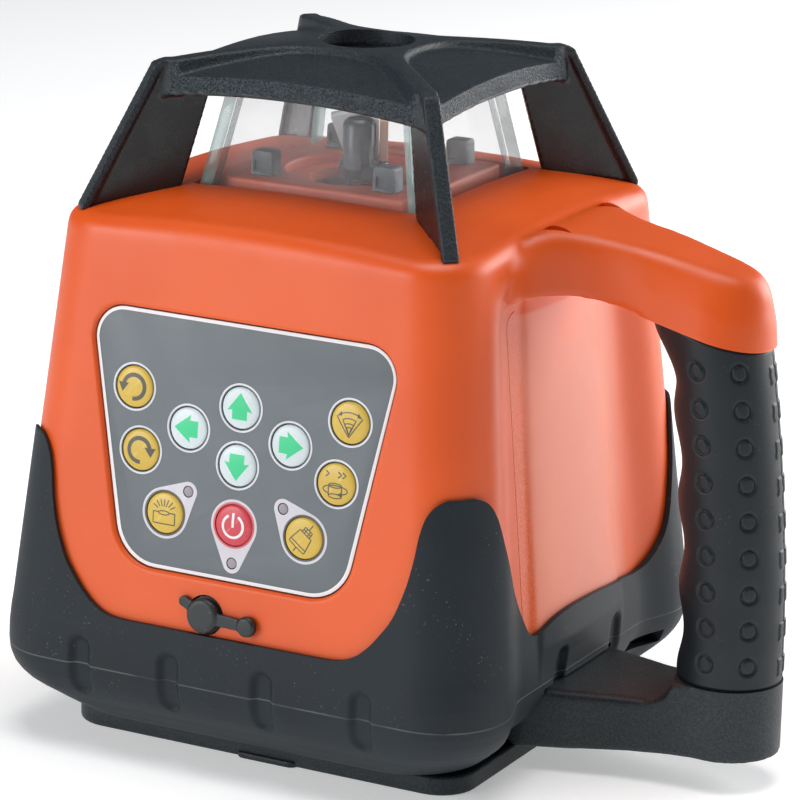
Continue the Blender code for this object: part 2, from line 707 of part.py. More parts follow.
KEYS = {
    "key_turn_left": ((-33.5, 8.96), "yellow"),
    "key_turn_right": ((-30.5, -8.24), "yellow"),
    "key_left": ((-15.84, 0.0), "white"),
    "key_up": ((0.0, 7.95), "white"),
    "key_down": ((0.0, -7.95), "white"),
    "key_right": ((15.84, 0.0), "white"),
    "key_scan": ((33.5, 8.96), "yellow"),
    "key_speed": ((30.5, -8.24), "yellow"),
    "key_vertical": ((-21.7, -24.5), "yellow"),
    "key_power": ((0.0, -24.5), "red"),
    "key_tilt": ((21.7, -24.5), "yellow"),
}
LEDS = {"led_vertical": (-14.8, -17.5), "led_tilt": (14.8, -17.5), "led_power": (0.0, -35.1)}


def make_keypad(front):
    """Panel, keys, lamps and board, in the leaning frame of the front wall."""
    top = -PANEL_DEPTH
    panel = add_mesh("keypad_panel", prism(panel_outline(), top - PANEL_THICKNESS, top), "overlay", front)
    flange = prism(panel_outline(3.0), top - PANEL_THICKNESS, -WALL - GAP)
    join(panel, add_mesh("panel_flange", flange, "overlay", front))
    for name, (place, colour) in KEYS.items():
        hole = moved(prism(circle(KEY_RADIUS + GAP, 16), -10.0, 5.0), (*place, 0.0))
        cut(panel, add_mesh(f"{name}_hole", hole, "overlay", front))
        profile = [(0.0, 0.75), (4.6, 0.5), (KEY_RADIUS, -0.1), (KEY_RADIUS, -2.6), (2.0, -2.6),
                   (2.0, -4.2), (0.0, -4.2)]
        key = moved(turned(profile, 16), (*place, top))
        add_mesh(name, key, colour, front, origin=(*place, top))
    for name, place in LEDS.items():
        hole = moved(prism(circle(LED_RADIUS + GAP, 8), -10.0, 5.0), (*place, 0.0))
        cut(panel, add_mesh(f"{name}_hole", hole, "overlay", front))
        profile = [(0.0, 0.3), (0.9, 0.2), (LED_RADIUS, -0.2), (LED_RADIUS, -4.3), (0.0, -4.3)]
        add_mesh(name, moved(turned(profile, 8), (*place, top)), "lens", front)
    board = rounded_polygon([(42.0, 27.0, 2.0), (-42.0, 27.0, 2.0), (-31.0, -36.0, 2.0),
                             (31.0, -36.0, 2.0)], 2)
    add_mesh("keypad_board", prism(board, top - 6.7, top - 5.1), "board", front)


def make_jack(jack, anchor):
    body = [(0.0, -3.0), (0.9, -3.3), (0.9, -10.0), (2.9, -10.0), (2.9, -0.6), (5.2, -0.6),
            (5.2, -12.0), (0.0, -12.0)]
    add_mesh("charging_jack", turned(body, 16), "black_plastic", jack)
    cap = [(0.0, 2.5), (4.4, 2.5), (4.9, 2.0), (4.9, GAP), (2.2, GAP), (2.2, -2.0), (1.7, -2.4),
           (0.0, -2.4)]
    hinge = anchor.copy()
    plug = add_mesh("jack_plug", turned(cap, 16), "rubber", jack, origin=hinge)
    reach = Vector((hinge.x, hinge.y))
    sideways = Vector((-reach.y, reach.x)).normalized() * 1.5
    strap = [reach - sideways, reach + sideways, sideways, -sideways]
    join(plug, add_mesh("plug_strap", prism([tuple(p) for p in strap], 0.3, 1.5), "rubber", jack))
    knuckle = prism(circle(0.6, 10), -1.5, 1.5)
    turn = Vector((0.0, 0.0, 1.0)).rotation_difference(sideways.to_3d()).to_matrix()
    join(plug, add_mesh("plug_knuckle", moved(knuckle, hinge, turn), "rubber", jack))
    tab = [(0.0, -1.6), (14.0, -2.2), (14.0, 1.0), (0.0, 1.6)]
    join(plug, add_mesh("plug_tab", prism(tab, 0.5, 1.9), "rubber", jack))
    join(plug, add_mesh("plug_tab_end", prism(circle(2.5, 14, (15.6, -0.7)), 0.4, 2.8), "rubber", jack))


# ---------------------------------------------------------------- battery

def make_battery(root, back, door_hinge, latch):
    """Door, latch and pack. The door turns about the barrel on its left edge."""
    half = DOOR_THICKNESS / 2.0
    door = prism(rounded_box(DOOR_HALF_U - half / 2.0, DOOR_HALF_V, 2.0, 2), -half, half)
    shift = (DOOR_HALF_U + half / 2.0 - half, 0.0, 0.0)
    door = add_mesh("battery_door", moved(door, shift), "orange", door_hinge)
    barrel = moved(prism(circle(half, 14), -DOOR_HALF_V + 1.0, DOOR_HALF_V - 1.0),
                   matrix=along("Y"))
    join(door, add_mesh("door_barrel", barrel, "orange", door_hinge))
    cut(door, add_mesh("door_bore", prism(circle(2.4, 16, (LATCH_U + DOOR_HALF_U - half, 0.0)), -6.0, 6.0),
                       "orange", door_hinge))
    knob = [(0.0, 3.4), (6.4, 3.4), (7.0, 2.8), (7.0, half + GAP), (2.0, half + GAP),
            (2.0, -half - 0.6), (3.0, -half - 0.6), (3.0, -half - 2.4), (0.0, -half - 2.4)]
    turn_latch = add_mesh("door_latch", turned(knob, 16), "black_plastic", latch)
    join(turn_latch, add_mesh("latch_bar", box((-6.0, -1.2, 3.0), (6.0, 1.2, 5.0)), "black_plastic", latch))
    join(turn_latch, add_mesh("latch_cam", box((-1.8, -1.8, -half - 2.4), (9.0, 1.8, -half - 0.6)),
                              "black_plastic", latch))
    cell_radius, cell_height = 11.5, 43.0
    lobes = []
    for side in (-1, 1):
        for k in range(4):
            centre = (side * (k - 1.5) * -2.0 * cell_radius, 0.0)
            start = 180.0 if side < 0 else 0.0
            lobes += arc(centre, cell_radius, start + 20.0, start + 160.0, 5)
    pack = moved(prism(lobes, DOOR_Z - cell_height / 2.0, DOOR_Z + cell_height / 2.0), (0.0, 50.0, 0.0))
    add_mesh("battery_pack", pack, "wrap", root)


# ---------------------------------------------------------------- levelling and rotor

def make_frame(root):
    frame = add_mesh("gimbal_frame", box((-50.0, -17.0, 12.3), (50.0, 17.0, 15.3)), "aluminium", root)
    for side in (-1, 1):
        post = box((side * POST_X - 3.5, -7.0, 14.0), (side * POST_X + 3.5, 7.0, 139.0))
        join(frame, add_mesh(f"frame_post_{side}", post, "aluminium", root))
    join(frame, add_mesh("frame_shelf", box((-47.5, -58.0, 57.0), (47.5, 14.0, 60.0)), "aluminium", root))
    cut(frame, add_mesh("frame_insert_way", prism(circle(INSERT_RADIUS + 1.0, 20), 5.0, 30.0),
                        "aluminium", root))
    pivot = moved(prism(circle(PIN_BORE, 14), -60.0, 60.0), (0.0, 0.0, PIVOT_Z), along("X"))
    cut(frame, add_mesh("frame_pivot_bore", pivot, "aluminium", root))
    board = box((-62.0, -35.0, 30.0), (-60.4, 35.0, 100.0))
    add_mesh("main_board", board, "board", root)


def make_ring(ring_pivot):
    """Outer gimbal ring, with its pins on X, bores on Y and drive arm on -Y."""
    outline = rounded_box(RING_HALF, RING_HALF, 5.0, 3)
    ring = add_mesh("gimbal_ring", prism(outline, -4.0, 4.0), "aluminium", ring_pivot)
    inner = RING_HALF - RING_WALL
    cut(ring, add_mesh("ring_way", prism(rounded_box(inner, inner, 3.0, 3), -10.0, 10.0),
                       "aluminium", ring_pivot))
    for side in (-1, 1):
        pin = moved(prism(circle(PIN_RADIUS, 14), -4.5, 4.5), (side * 41.5, 0.0, 0.0), along("X"))
        join(ring, add_mesh(f"ring_pin_{side}", pin, "aluminium", ring_pivot))
    bore = moved(prism(circle(PIN_BORE, 14), -60.0, 60.0), matrix=along("Y"))
    cut(ring, add_mesh("ring_bore", bore, "aluminium", ring_pivot))
    join(ring, add_mesh("ring_arm", box((-3.0, DRIVE_ARM_Y - 3.0, -7.5), (3.0, -34.0, -3.4)),
                        "aluminium", ring_pivot))
    tip = prism(circle(1.8, 12, (0.0, DRIVE_ARM_Y)), 116.5 - PIVOT_Z, -6.0)
    join(ring, add_mesh("ring_tip", tip, "aluminium", ring_pivot))


def make_platform(platform_pivot):
    """Inner platform: bearing sleeve, legs for the laser and its own drive arm."""
    plate = prism(rounded_box(28.0, 28.0, 4.0, 2), -1.5, 1.5)
    platform = add_mesh("tilt_platform", plate, "aluminium", platform_pivot)
    sleeve = prism(circle(12.0, 24), 119.0 - PIVOT_Z, 149.5 - PIVOT_Z)
    join(platform, add_mesh("platform_sleeve", sleeve, "aluminium", platform_pivot))
    cut(platform, add_mesh("sleeve_bore", prism(circle(8.3, 24), -40.0, 40.0), "aluminium", platform_pivot))
    for side in (-1, 1):
        leg = box((-3.5, side * 17.0 - 2.5, 76.0 - PIVOT_Z), (3.5, side * 17.0 + 2.5, 0.0))
        join(platform, add_mesh(f"platform_leg_{side}", leg, "aluminium", platform_pivot))
        pin = moved(prism(circle(PIN_RADIUS, 14), -5.0, 5.0), (0.0, side * 31.6, 0.0), along("Y"))
        join(platform, add_mesh(f"platform_pin_{side}", pin, "aluminium", platform_pivot))
    shoe = box((-8.0, -19.5, 76.0 - PIVOT_Z), (8.0, 19.5, 80.0 - PIVOT_Z))
    join(platform, add_mesh("laser_shoe", shoe, "aluminium", platform_pivot))
    cut(platform, add_mesh("laser_bore", prism(circle(6.4, 20), -60.0, -50.0), "aluminium", platform_pivot))
    arm = box((10.0, -3.0, 119.0 - PIVOT_Z), (DRIVE_ARM_X + 3.0, 3.0, 123.0 - PIVOT_Z))
    join(platform, add_mesh("platform_arm", arm, "aluminium", platform_pivot))
    tip = prism(circle(1.8, 12, (DRIVE_ARM_X, 0.0)), 116.5 - PIVOT_Z, 120.0 - PIVOT_Z)
    join(platform, add_mesh("platform_tip", tip, "aluminium", platform_pivot))
    for name, low in (("upper_bearing", 143.0), ("lower_bearing", 121.0)):
        ring = [(SPINDLE_RADIUS + GAP, low + 5.0), (8.0, low + 5.0), (8.0, low), (SPINDLE_RADIUS + GAP, low)]
        ring = [(r, z - PIVOT_Z) for r, z in ring]
        add_mesh(name, turned(ring, 20, closed=True), "steel", platform_pivot)
    barrel = [(0.0, 96.0), (2.0, 96.0), (2.0, 94.0), (6.0, 94.0), (6.0, 72.0), (0.0, 72.0)]
    barrel = [(r, z - PIVOT_Z) for r, z in barrel]
    add_mesh("laser_barrel", turned(barrel, 20), "brass", platform_pivot)
    motor = [(0.0, 130.2), (7.5, 130.2), (7.5, 109.0), (6.5, 108.0), (0.0, 108.0)]
    motor = [(r, z - PIVOT_Z) for r, z in motor]
    add_mesh("head_motor", moved(turned(motor, 20), (MOTOR_X, 0.0, 0.0)), "steel", platform_pivot)


def belt_outline(big, small):
    """The outline of a belt round the spindle pulley and the motor pulley."""
    lean = math.degrees(math.asin((big - small) / abs(MOTOR_X)))
    on_big = arc((0.0, 0.0), big, -90.0 - lean, 90.0 + lean, 14)
    on_small = arc((MOTOR_X, 0.0), small, 90.0 + lean, 270.0 - lean, 8)
    return on_big + on_small


def make_rotor(rotor_axis, motor_axis, platform_pivot):
    spindle = [(2.5, 155.7), (SPINDLE_RADIUS, 155.7), (SPINDLE_RADIUS, 98.0), (2.5, 98.0)]
    add_mesh("spindle", turned(spindle, 20, closed=True), "steel", rotor_axis)
    pulley = [(SPINDLE_RADIUS + GAP, PULLEY_Z + PULLEY_HEIGHT), (12.4, PULLEY_Z + PULLEY_HEIGHT),
              (12.4, PULLEY_Z + 5.3), (11.4, PULLEY_Z + 5.3), (11.4, PULLEY_Z + 0.7),
              (12.4, PULLEY_Z + 0.7), (12.4, PULLEY_Z), (SPINDLE_RADIUS + GAP, PULLEY_Z)]
    add_mesh("spindle_pulley", turned(pulley, 16, closed=True), "black_plastic", rotor_axis)
    small = [(0.0, 107.7), (1.5, 107.7), (1.5, 106.0), (4.9, 106.0), (4.9, 105.3), (3.9, 105.3),
             (3.9, 100.7), (4.9, 100.7), (4.9, 100.0), (0.0, 100.0)]
    add_mesh("motor_pulley", turned(small, 12), "black_plastic", motor_axis)
    belt = prism(belt_outline(12.3, 4.8), 101.2 - PIVOT_Z, 104.8 - PIVOT_Z)
    belt = add_mesh("drive_belt", belt, "rubber", platform_pivot)
    cut(belt, add_mesh("belt_way", prism(belt_outline(11.7, 4.2), -40.0, 0.0), "rubber", platform_pivot))
    hub = [(0.0, 160.5), (6.6, 160.5), (7.0, 160.0), (7.0, 156.0), (0.0, 156.0)]
    head = add_mesh("rotor_head", turned(hub, 20), "grey_plastic", rotor_axis)
    facing = Matrix.Rotation(HEAD_TURN, 3, "Z")
    column = [(0.0, 174.2), (2.6, 174.0), (4.1, 173.2), (4.7, 172.0), (4.7, 159.0), (0.0, 159.0)]
    column = moved(moved(turned(column, 20), (0.0, -2.3, 0.0)), matrix=facing)
    join(head, add_mesh("head_column", column, "grey_plastic", rotor_axis))
    outline = [(-4.6, 160.9), (5.5, 160.9), (5.5, 171.4), (-1.5, 174.3), (-9.3, 172.2)]
    glass = moved(prism(outline, -9.6, -2.8), matrix=Matrix.Rotation(math.pi / 2, 3, "X"))
    add_mesh("pentaprism", moved(glass, matrix=facing), "glass", rotor_axis)


def make_lift_drive(name, place, screw_parent, nut_parent, root):
    """Stepper motor, lead screw and lifting nut under one drive arm."""
    x, y = place
    motor = [(0.0, 92.0), (8.4, 92.0), (9.0, 91.4), (9.0, 60.3), (0.0, 60.3)]
    add_mesh(f"{name}_motor", moved(turned(motor, 20), (x, y, 0.0)), "steel", root)
    add_mesh(f"{name}_screw", prism(circle(1.5, 12), 92.3, 110.2), "steel", screw_parent)
    nut = add_mesh(f"{name}_nut", prism(rounded_box(5.0, 5.0, 1.0, 1), 104.0, 116.2), "brass", nut_parent)
    cut(nut, add_mesh(f"{name}_nut_bore", prism(circle(1.9, 12), 100.0, 115.0), "brass", nut_parent))


# ---------------------------------------------------------------- assembly

def main():
    clear_scene()
    root = add_empty("laser_level", (AXIS_X, 0.0, 0.0))
    lean = math.pi / 2 - math.atan(TAPER)
    front = add_empty("front_wall", (0.0, -WALL_HALF, WALL_Z), (lean, 0.0, 0.0), root)
    jack = add_empty("jack_axis", (JACK_X, -wall_half(JACK_Z), JACK_Z), (lean, 0.0, 0.0), root)
    back = add_empty("back_wall", (0.0, wall_half(DOOR_Z), DOOR_Z), (lean, 0.0, math.pi), root)
    half = DOOR_THICKNESS / 2.0
    door_hinge = add_empty("door_hinge", (-DOOR_HALF_U + half, 0.0, -half), parent=back)
    latch = add_empty("latch_axis", (LATCH_U + DOOR_HALF_U - half, 0.0, 0.0), parent=door_hinge)
    ring_pivot = add_empty("ring_pivot", (0.0, 0.0, PIVOT_Z), parent=root)
    platform_pivot = add_empty("platform_pivot", parent=ring_pivot)
    rotor_axis = add_empty("rotor_axis", (0.0, 0.0, -PIVOT_Z), parent=platform_pivot)
    motor_axis = add_empty("motor_axis", (MOTOR_X, 0.0, -PIVOT_Z), parent=platform_pivot)

    make_housing(root, front, back, jack)
    make_boot(root)
    make_chassis(root)
    make_base(root)
    make_tripod_insert(root)
    make_handle(root)
    make_cage(root)
    make_windows(root)
    make_deck(root)
    make_keypad(front)
    make_jack(jack, Vector((-7.6, 3.6, 0.9)))
    make_battery(root, back, door_hinge, latch)
    make_frame(root)
    make_ring(ring_pivot)
    make_platform(platform_pivot)
    make_rotor(rotor_axis, motor_axis, platform_pivot)
    for name, place in (("roll", (DRIVE_ARM_X, 0.0)), ("pitch", (0.0, DRIVE_ARM_Y))):
        axis = add_empty(f"{name}_lift_axis", (*place, 0.0), parent=root)
        make_lift_drive(f"{name}_lift", place, axis, axis, root)


main()
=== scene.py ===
"""Looks of the rotating laser level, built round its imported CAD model.

Shapes are worked out in millimetres from the rotor's axis, the way the CAD
source does, and finished() turns them into metres in the frame's own place.
"""

import math

import bmesh
import bpy
import numpy as np
from mathutils import Matrix, Vector


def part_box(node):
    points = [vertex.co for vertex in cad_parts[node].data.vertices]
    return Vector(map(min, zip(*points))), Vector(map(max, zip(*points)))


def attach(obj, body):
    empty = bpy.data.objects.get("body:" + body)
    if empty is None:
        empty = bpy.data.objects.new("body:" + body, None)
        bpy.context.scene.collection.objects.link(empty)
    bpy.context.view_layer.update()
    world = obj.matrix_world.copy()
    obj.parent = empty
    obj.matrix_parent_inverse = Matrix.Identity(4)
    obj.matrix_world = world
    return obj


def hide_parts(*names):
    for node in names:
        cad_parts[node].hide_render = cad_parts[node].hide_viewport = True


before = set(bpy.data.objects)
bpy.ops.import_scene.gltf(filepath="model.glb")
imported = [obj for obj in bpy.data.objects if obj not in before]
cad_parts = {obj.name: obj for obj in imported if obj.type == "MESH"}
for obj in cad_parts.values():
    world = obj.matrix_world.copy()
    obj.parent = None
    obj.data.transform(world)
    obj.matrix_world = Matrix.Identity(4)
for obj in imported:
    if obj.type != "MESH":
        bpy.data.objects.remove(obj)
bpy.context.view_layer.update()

MM = 0.001
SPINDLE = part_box("spindle")
AXIS = Vector(((SPINDLE[0].x + SPINDLE[1].x) / 2.0, (SPINDLE[0].y + SPINDLE[1].y) / 2.0, 0.0))

# Housing, as in the CAD source
TAPER = 0.094
WALL_HALF = 69.0
WALL_Z = 96.7
PLAN_RADIUS = 17.0
HIDDEN_HALF = 72.5
HOUSING_FOOT_Z = 21.2
SHOULDER_Z = 146.0
SHOULDER_RADIUS = 6.0
SHOULDER_RISE = 5.1
RIM_HALF = 35.0
RIM_Z = 156.6
WALL = 2.8
SIDE_RECESS = 4.5
RECESS_FULL_Z = 130.0
RECESS_END_Z = 146.0
ARM_END = 126.0
ARM_HALF = 16.0
ARM_TOP_Z = 152.2
ARM_EDGE = 4.5
SIGHT_Y = 16.5
SIGHT_FLOOR_Z = 150.9

# Boot, chassis and base
BOOT_RADIUS = 20.0
BOOT_PROUD = 1.8
BOOT_TOP_Z = 89.0
BOOT_GAP = 0.35
MOULD_LINE_Z = 26.2
DENT_Z = 25.5
DENT_REACH = 5.6
DENT_DEPTH = 1.6
CHASSIS_Z = 8.3
LOWER_ARM_TOP_Z = 24.0
FOOT_BOTTOM_Z = 9.4

# Grip
GRIP_RADIUS_X = 15.0
GRIP_RADIUS_Y = 14.6
GRIP_FOOT_Z = 30.0
GRIP_FOOT_X = 117.4
GRIP_TOP_Z = 127.0
SEAM_X = 112.0
SEAM_SLOPE = -0.25
CORE_RADIUS = 9.3
DIMPLE_PITCH = 10.2
SEAM_ANGLE = 9.0
TOP_DIMPLE_Z = 118.8

# Cage, windows and deck
CAGE_HALF = 42.0
CAGE_TOP_Z = 195.2
CAGE_CORNER_Z = 191.0
CAGE_UNDER_Z = 187.0
CAGE_HOLE = 13.5
BAR_HALF = 2.3
WEB_HALF = 1.1
GLASS_FOOT_HALF = 33.5
GLASS_FOOT_Z = 155.4
GLASS_LEAN = 0.195
GLASS_LOW_Z = 150.5
GLASS_HIGH_Z = 186.4
GLASS_THICKNESS = 4.0
DECK_Z = 158.0
CLIP_OFFSET = 21.5
HEAD_TURN = 28.2
SPARK_CELL = 0.6 * MM

# Keypad, in the leaning frame of the front wall
PANEL_DEPTH = 1.2
PANEL_THICKNESS = 3.4
KEY_RADIUS = 5.75
LED_RADIUS = 1.45
JACK_X = -6.6
JACK_Z = 46.5
DOOR_Z = 74.0
DOOR_HALF_U = 47.0
DOOR_HALF_V = 22.5
DOOR_THICKNESS = 2.6
LATCH_U = 36.0


# ---------------------------------------------------------------- mesh tools

def smoothstep(low, high, value):
    t = np.clip((np.asarray(value, float) - low) / (high - low), 0.0, 1.0)
    return t * t * (3.0 - 2.0 * t)


def linked(name, data):
    """A new object in the scene, made of a mesh, a light or a camera."""
    obj = bpy.data.objects.new(name, data)
    bpy.context.scene.collection.objects.link(obj)
    return obj


def as_object(bm):
    mesh = bpy.data.meshes.new("shape")
    bm.to_mesh(mesh)
    bm.free()
    return linked("shape", mesh)


def temp(bm):
    """An object that holds a closed shape in millimetres, its faces outwards."""
    bmesh.ops.recalc_face_normals(bm, faces=bm.faces[:])
    return as_object(bm)


def bake(obj):
    """Applies the object's modifiers."""
    graph = bpy.context.evaluated_depsgraph_get()
    mesh = bpy.data.meshes.new_from_object(obj.evaluated_get(graph), depsgraph=graph)
    old = obj.data
    obj.modifiers.clear()
    obj.data = mesh
    bpy.data.meshes.remove(old)
    return obj


def boolean(obj, other, operation):
    modifier = obj.modifiers.new("boolean", "BOOLEAN")
    modifier.operation = operation
    modifier.object = other
    modifier.solver = "MANIFOLD"
    bake(obj)
    bpy.data.objects.remove(other, do_unlink=True)


def cut(obj, bm):
    boolean(obj, temp(bm), "DIFFERENCE")


def add(obj, bm):
    boolean(obj, temp(bm), "UNION")


def together(objects):
    """One object that holds the meshes of several."""
    bm = bmesh.new()
    for obj in objects:
        bm.from_mesh(obj.data)
        bpy.data.objects.remove(obj, do_unlink=True)
    return as_object(bm)


def melted(obj, voxel, passes):
    """Unites overlapping closed shapes and rounds every edge, like a moulding."""
    remesh = obj.modifiers.new("remesh", "REMESH")
    remesh.mode = "VOXEL"
    remesh.voxel_size = voxel
    smooth = obj.modifiers.new("smooth", "SMOOTH")
    smooth.iterations = passes
    smooth.factor = 0.5
    return bake(obj)


def points_of(obj):
    co = np.zeros(len(obj.data.vertices) * 3)
    obj.data.vertices.foreach_get("co", co)
    return co.reshape(-1, 3)


def set_points(obj, co):
    obj.data.vertices.foreach_set("co", co.astype(np.float32).ravel())
    obj.data.update()


def finished(obj, name, materials, body, replaces=(), sharp=35.0, pick=None):
    """Moves a shape to its place in metres and hands it to the frame.

    pick(centre, normal) gives the faces' material numbers from their centres in
    millimetres and their normals.
    """
    mesh = obj.data
    materials = materials if isinstance(materials, (list, tuple)) else [materials]
    mesh.materials.clear()
    for material in materials:
        mesh.materials.append(material)
    indices = np.zeros(len(mesh.polygons), np.int32)
    if pick:
        centres = np.zeros(len(mesh.polygons) * 3)
        normals = np.zeros(len(mesh.polygons) * 3)
        mesh.polygons.foreach_get("center", centres)
        mesh.polygons.foreach_get("normal", normals)
        indices = pick(centres.reshape(-1, 3).T, normals.reshape(-1, 3).T).astype(np.int32)
    mesh.polygons.foreach_set("material_index", indices)
    mesh.transform(Matrix.Translation(AXIS) @ Matrix.Scale(MM, 4) @ obj.matrix_basis)
    obj.matrix_basis = Matrix.Identity(4)
    mesh.shade_smooth()
    mesh.set_sharp_from_angle(angle=math.radians(sharp))
    obj.name = name
    mesh.name = name
    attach(obj, body)
    if replaces:
        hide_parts(*replaces)


def skin(bm, rows):
    """Joins rows of vertices, each a closed ring, with quads."""
    count = len(rows[0])
    for low, high in zip(rows, rows[1:]):
        for i in range(count):
            j = (i + 1) % count
            bm.faces.new((low[i], low[j], high[j], high[i]))


def loft(rings, caps=True):
    bm = bmesh.new()
    rows = [[bm.verts.new(point) for point in ring] for ring in rings]
    skin(bm, rows)
    if caps:
        bm.faces.new(rows[0][::-1])
        bm.faces.new(rows[-1])
    return bm


def at_height(outline, z):
    return [(x, y, z) for x, y in outline]


def prism(outline, low, high):
    return loft([at_height(outline, low), at_height(outline, high)])


def box(low, high):
    (x0, y0, z0), (x1, y1, z1) = low, high
    return prism([(x0, y0), (x1, y0), (x1, y1), (x0, y1)], z0, z1)


def arc(centre, radius, start, end, steps):
    points = []
    for i in range(steps + 1):
        a = math.radians(start + (end - start) * i / steps)
        points.append((centre[0] + radius * math.cos(a), centre[1] + radius * math.sin(a)))
    return points


def circle(radius, steps=64, centre=(0.0, 0.0)):
    return arc(centre, radius, 0.0, 360.0, steps)[:-1]


def rounded_box(half_x, half_y, radius, steps=8):
    cx, cy = half_x - radius, half_y - radius
    corners = [((cx, cy), 0), ((-cx, cy), 90), ((-cx, -cy), 180), ((cx, -cy), 270)]
    return [p for c, start in corners for p in arc(c, radius, start, start + 90, steps)]


def rounded_polygon(corners, steps=8):
    """Rounds each (x, y, radius) corner of a convex counterclockwise polygon."""
    points = []
    count = len(corners)
    for i, (x, y, radius) in enumerate(corners):
        here = Vector((x, y))
        back = (Vector(corners[i - 1][:2]) - here).normalized()
        ahead = (Vector(corners[(i + 1) % count][:2]) - here).normalized()
        half = back.angle(ahead) / 2.0
        centre = here + (back + ahead).normalized() * radius / math.sin(half)
        start = here + back * radius / math.tan(half) - centre
        sweep = math.pi - 2.0 * half
        for k in range(steps + 1):
            turned_by = start.copy()
            turned_by.rotate(Matrix.Rotation(sweep * k / steps, 2))
            points.append(tuple(centre + turned_by))
    return points


def soft_plate(outline_at, low, high, radius, steps=4):
    """A plate with rounded rims. outline_at(inset) gives its outline."""
    angles = [math.pi / 2 * k / steps for k in range(steps + 1)]
    near = [(radius * (1.0 - math.sin(a)), low + radius * (1.0 - math.cos(a))) for a in angles]
    far = [(radius * (1.0 - math.cos(a)), high - radius * (1.0 - math.sin(a))) for a in angles]
    return loft([at_height(outline_at(inset), z) for inset, z in near + far])


def soft_box(half_x, half_y, corner, low, high, radius, steps=8):
    """A soft plate with a rounded box for its outline."""
    return soft_plate(lambda inset: rounded_box(half_x - inset, half_y - inset, corner - inset, steps),
                      low, high, radius)


def turned(profile, steps=64, closed=False):
    """Spins (radius, z) points about z."""
    rings = [[(r * math.cos(2 * math.pi * k / steps), r * math.sin(2 * math.pi * k / steps), z)
              for k in range(steps)] for r, z in profile]
    if closed:
        rings.append(rings[0])
    bm = loft(rings, caps=not closed)
    bmesh.ops.remove_doubles(bm, verts=bm.verts[:], dist=0.0005)
    return bm


def moved(bm, offset=(0.0, 0.0, 0.0), matrix=None):
    whole = Matrix.Translation(offset) @ (matrix.to_4x4() if matrix else Matrix())
    bmesh.ops.transform(bm, matrix=whole, verts=bm.verts[:])
    return bm


def spun(degrees, axis="Z"):
    return Matrix.Rotation(math.radians(degrees), 3, axis)


UPRIGHT = Matrix.Rotation(math.pi / 2, 3, "X")


def upright(outline, low, high):
    """A prism whose outline is in (x, z) and whose length is along -y."""
    return moved(prism(outline, low, high), matrix=UPRIGHT)


def bevelled(bm, width, segments):
    bmesh.ops.bevel(bm, geom=bm.edges[:], offset=width, segments=segments, affect="EDGES", profile=0.5)
    return bm


def lip_profile(lip):
    """(outwards, upwards) points of a rounded lip that ends at the surface."""
    angles = [math.radians(angle) for angle in range(0, 76, 15)]
    return [(lip * (1.0 - math.cos(a)), lip * (math.sin(a) - 1.0)) for a in angles]


# ---------------------------------------------------------------- leaning frames

LEAN = math.pi / 2 - math.atan(TAPER)


def wall_half(z):
    return WALL_HALF - TAPER * (z - WALL_Z)


def leaning(x, z, back=False):
    """Matrix of a frame that lies on the front or back wall, its z outwards."""
    side = 1.0 if back else -1.0
    place = Matrix.Translation((x, side * wall_half(z), z))
    turn = Matrix.Rotation(math.pi, 4, "Z") if back else Matrix.Identity(4)
    return place @ turn @ Matrix.Rotation(LEAN, 4, "X")


FRONT = leaning(0.0, WALL_Z)
JACK = leaning(JACK_X, JACK_Z)
BACK = leaning(0.0, DOOR_Z, back=True)


# ---------------------------------------------------------------- materials

def add_node(tree, kind, inputs=None, **settings):
    """Adds a node; an input is a value or another node's output."""
    node = tree.nodes.new(kind)
    for key, value in settings.items():
        setattr(node, key, value)
    for key, value in (inputs or {}).items():
        socket = node.inputs[key]
        if isinstance(value, bpy.types.NodeSocket):
            tree.links.new(value, socket)
        else:
            socket.default_value = value
    return node


def noise(tree, place, scale, detail=2.0, roughness=0.5):
    return add_node(tree, "ShaderNodeTexNoise", {"Vector": place, "Scale": scale, "Detail": detail,
                                                 "Roughness": roughness}).outputs["Fac"]


def span(tree, value, low, high, to_low, to_high):
    """Maps a value smoothly from one span to another."""
    node = add_node(tree, "ShaderNodeMapRange", {"Value": value, "From Min": low, "From Max": high,
                                                 "To Min": to_low, "To Max": to_high})
    node.interpolation_type = "SMOOTHSTEP"
    return node.outputs["Result"]


def spread(tree, value, low=0.0, high=1.0):
    """Stretches the span that a noise mostly keeps to over another."""
    return span(tree, value, 0.3, 0.7, low, high)


def blend(tree, share, low, high):
    """Mixes two colours by a share."""
    node = add_node(tree, "ShaderNodeMix", {"Factor": share}, data_type="RGBA")
    for key, value in ((6, low), (7, high)):
        if isinstance(value, bpy.types.NodeSocket):
            tree.links.new(value, node.inputs[key])
        else:
            node.inputs[key].default_value = (*value, 1.0)
    return node.outputs[2]


def maths(tree, operation, first, second=0.0):
    node = add_node(tree, "ShaderNodeMath", {0: first, 1: second}, operation=operation)
    return node.outputs[0]


def times(tree, *factors):
    product = factors[0]
    for factor in factors[1:]:
        product = maths(tree, "MULTIPLY", product, factor)
    return product


def band(tree, value, start, full, fade, end):
    """1 from full to fade, falling to 0 at start and at end."""
    return times(tree, span(tree, value, start, full, 0.0, 1.0), span(tree, value, fade, end, 1.0, 0.0))


def add_dust(tree, place, tint, scale, high, clumps, colour):
    """Lays specks of dust on a colour, gathered where the clumps are."""
    specks = noise(tree, place, scale, 1.0, 0.5)
    return blend(tree, times(tree, span(tree, specks, 0.70, high, 0.0, 1.0), clumps), tint, colour)


def pointiness(tree):
    return add_node(tree, "ShaderNodeNewGeometry").outputs["Pointiness"]


def base(name):
    """A material's tree, its Principled shader and its object coordinates."""
    material = bpy.data.materials.new(name)
    material.use_nodes = True
    tree = material.node_tree
    place = add_node(tree, "ShaderNodeTexCoord").outputs["Object"]
    return material, tree, tree.nodes["Principled BSDF"], place


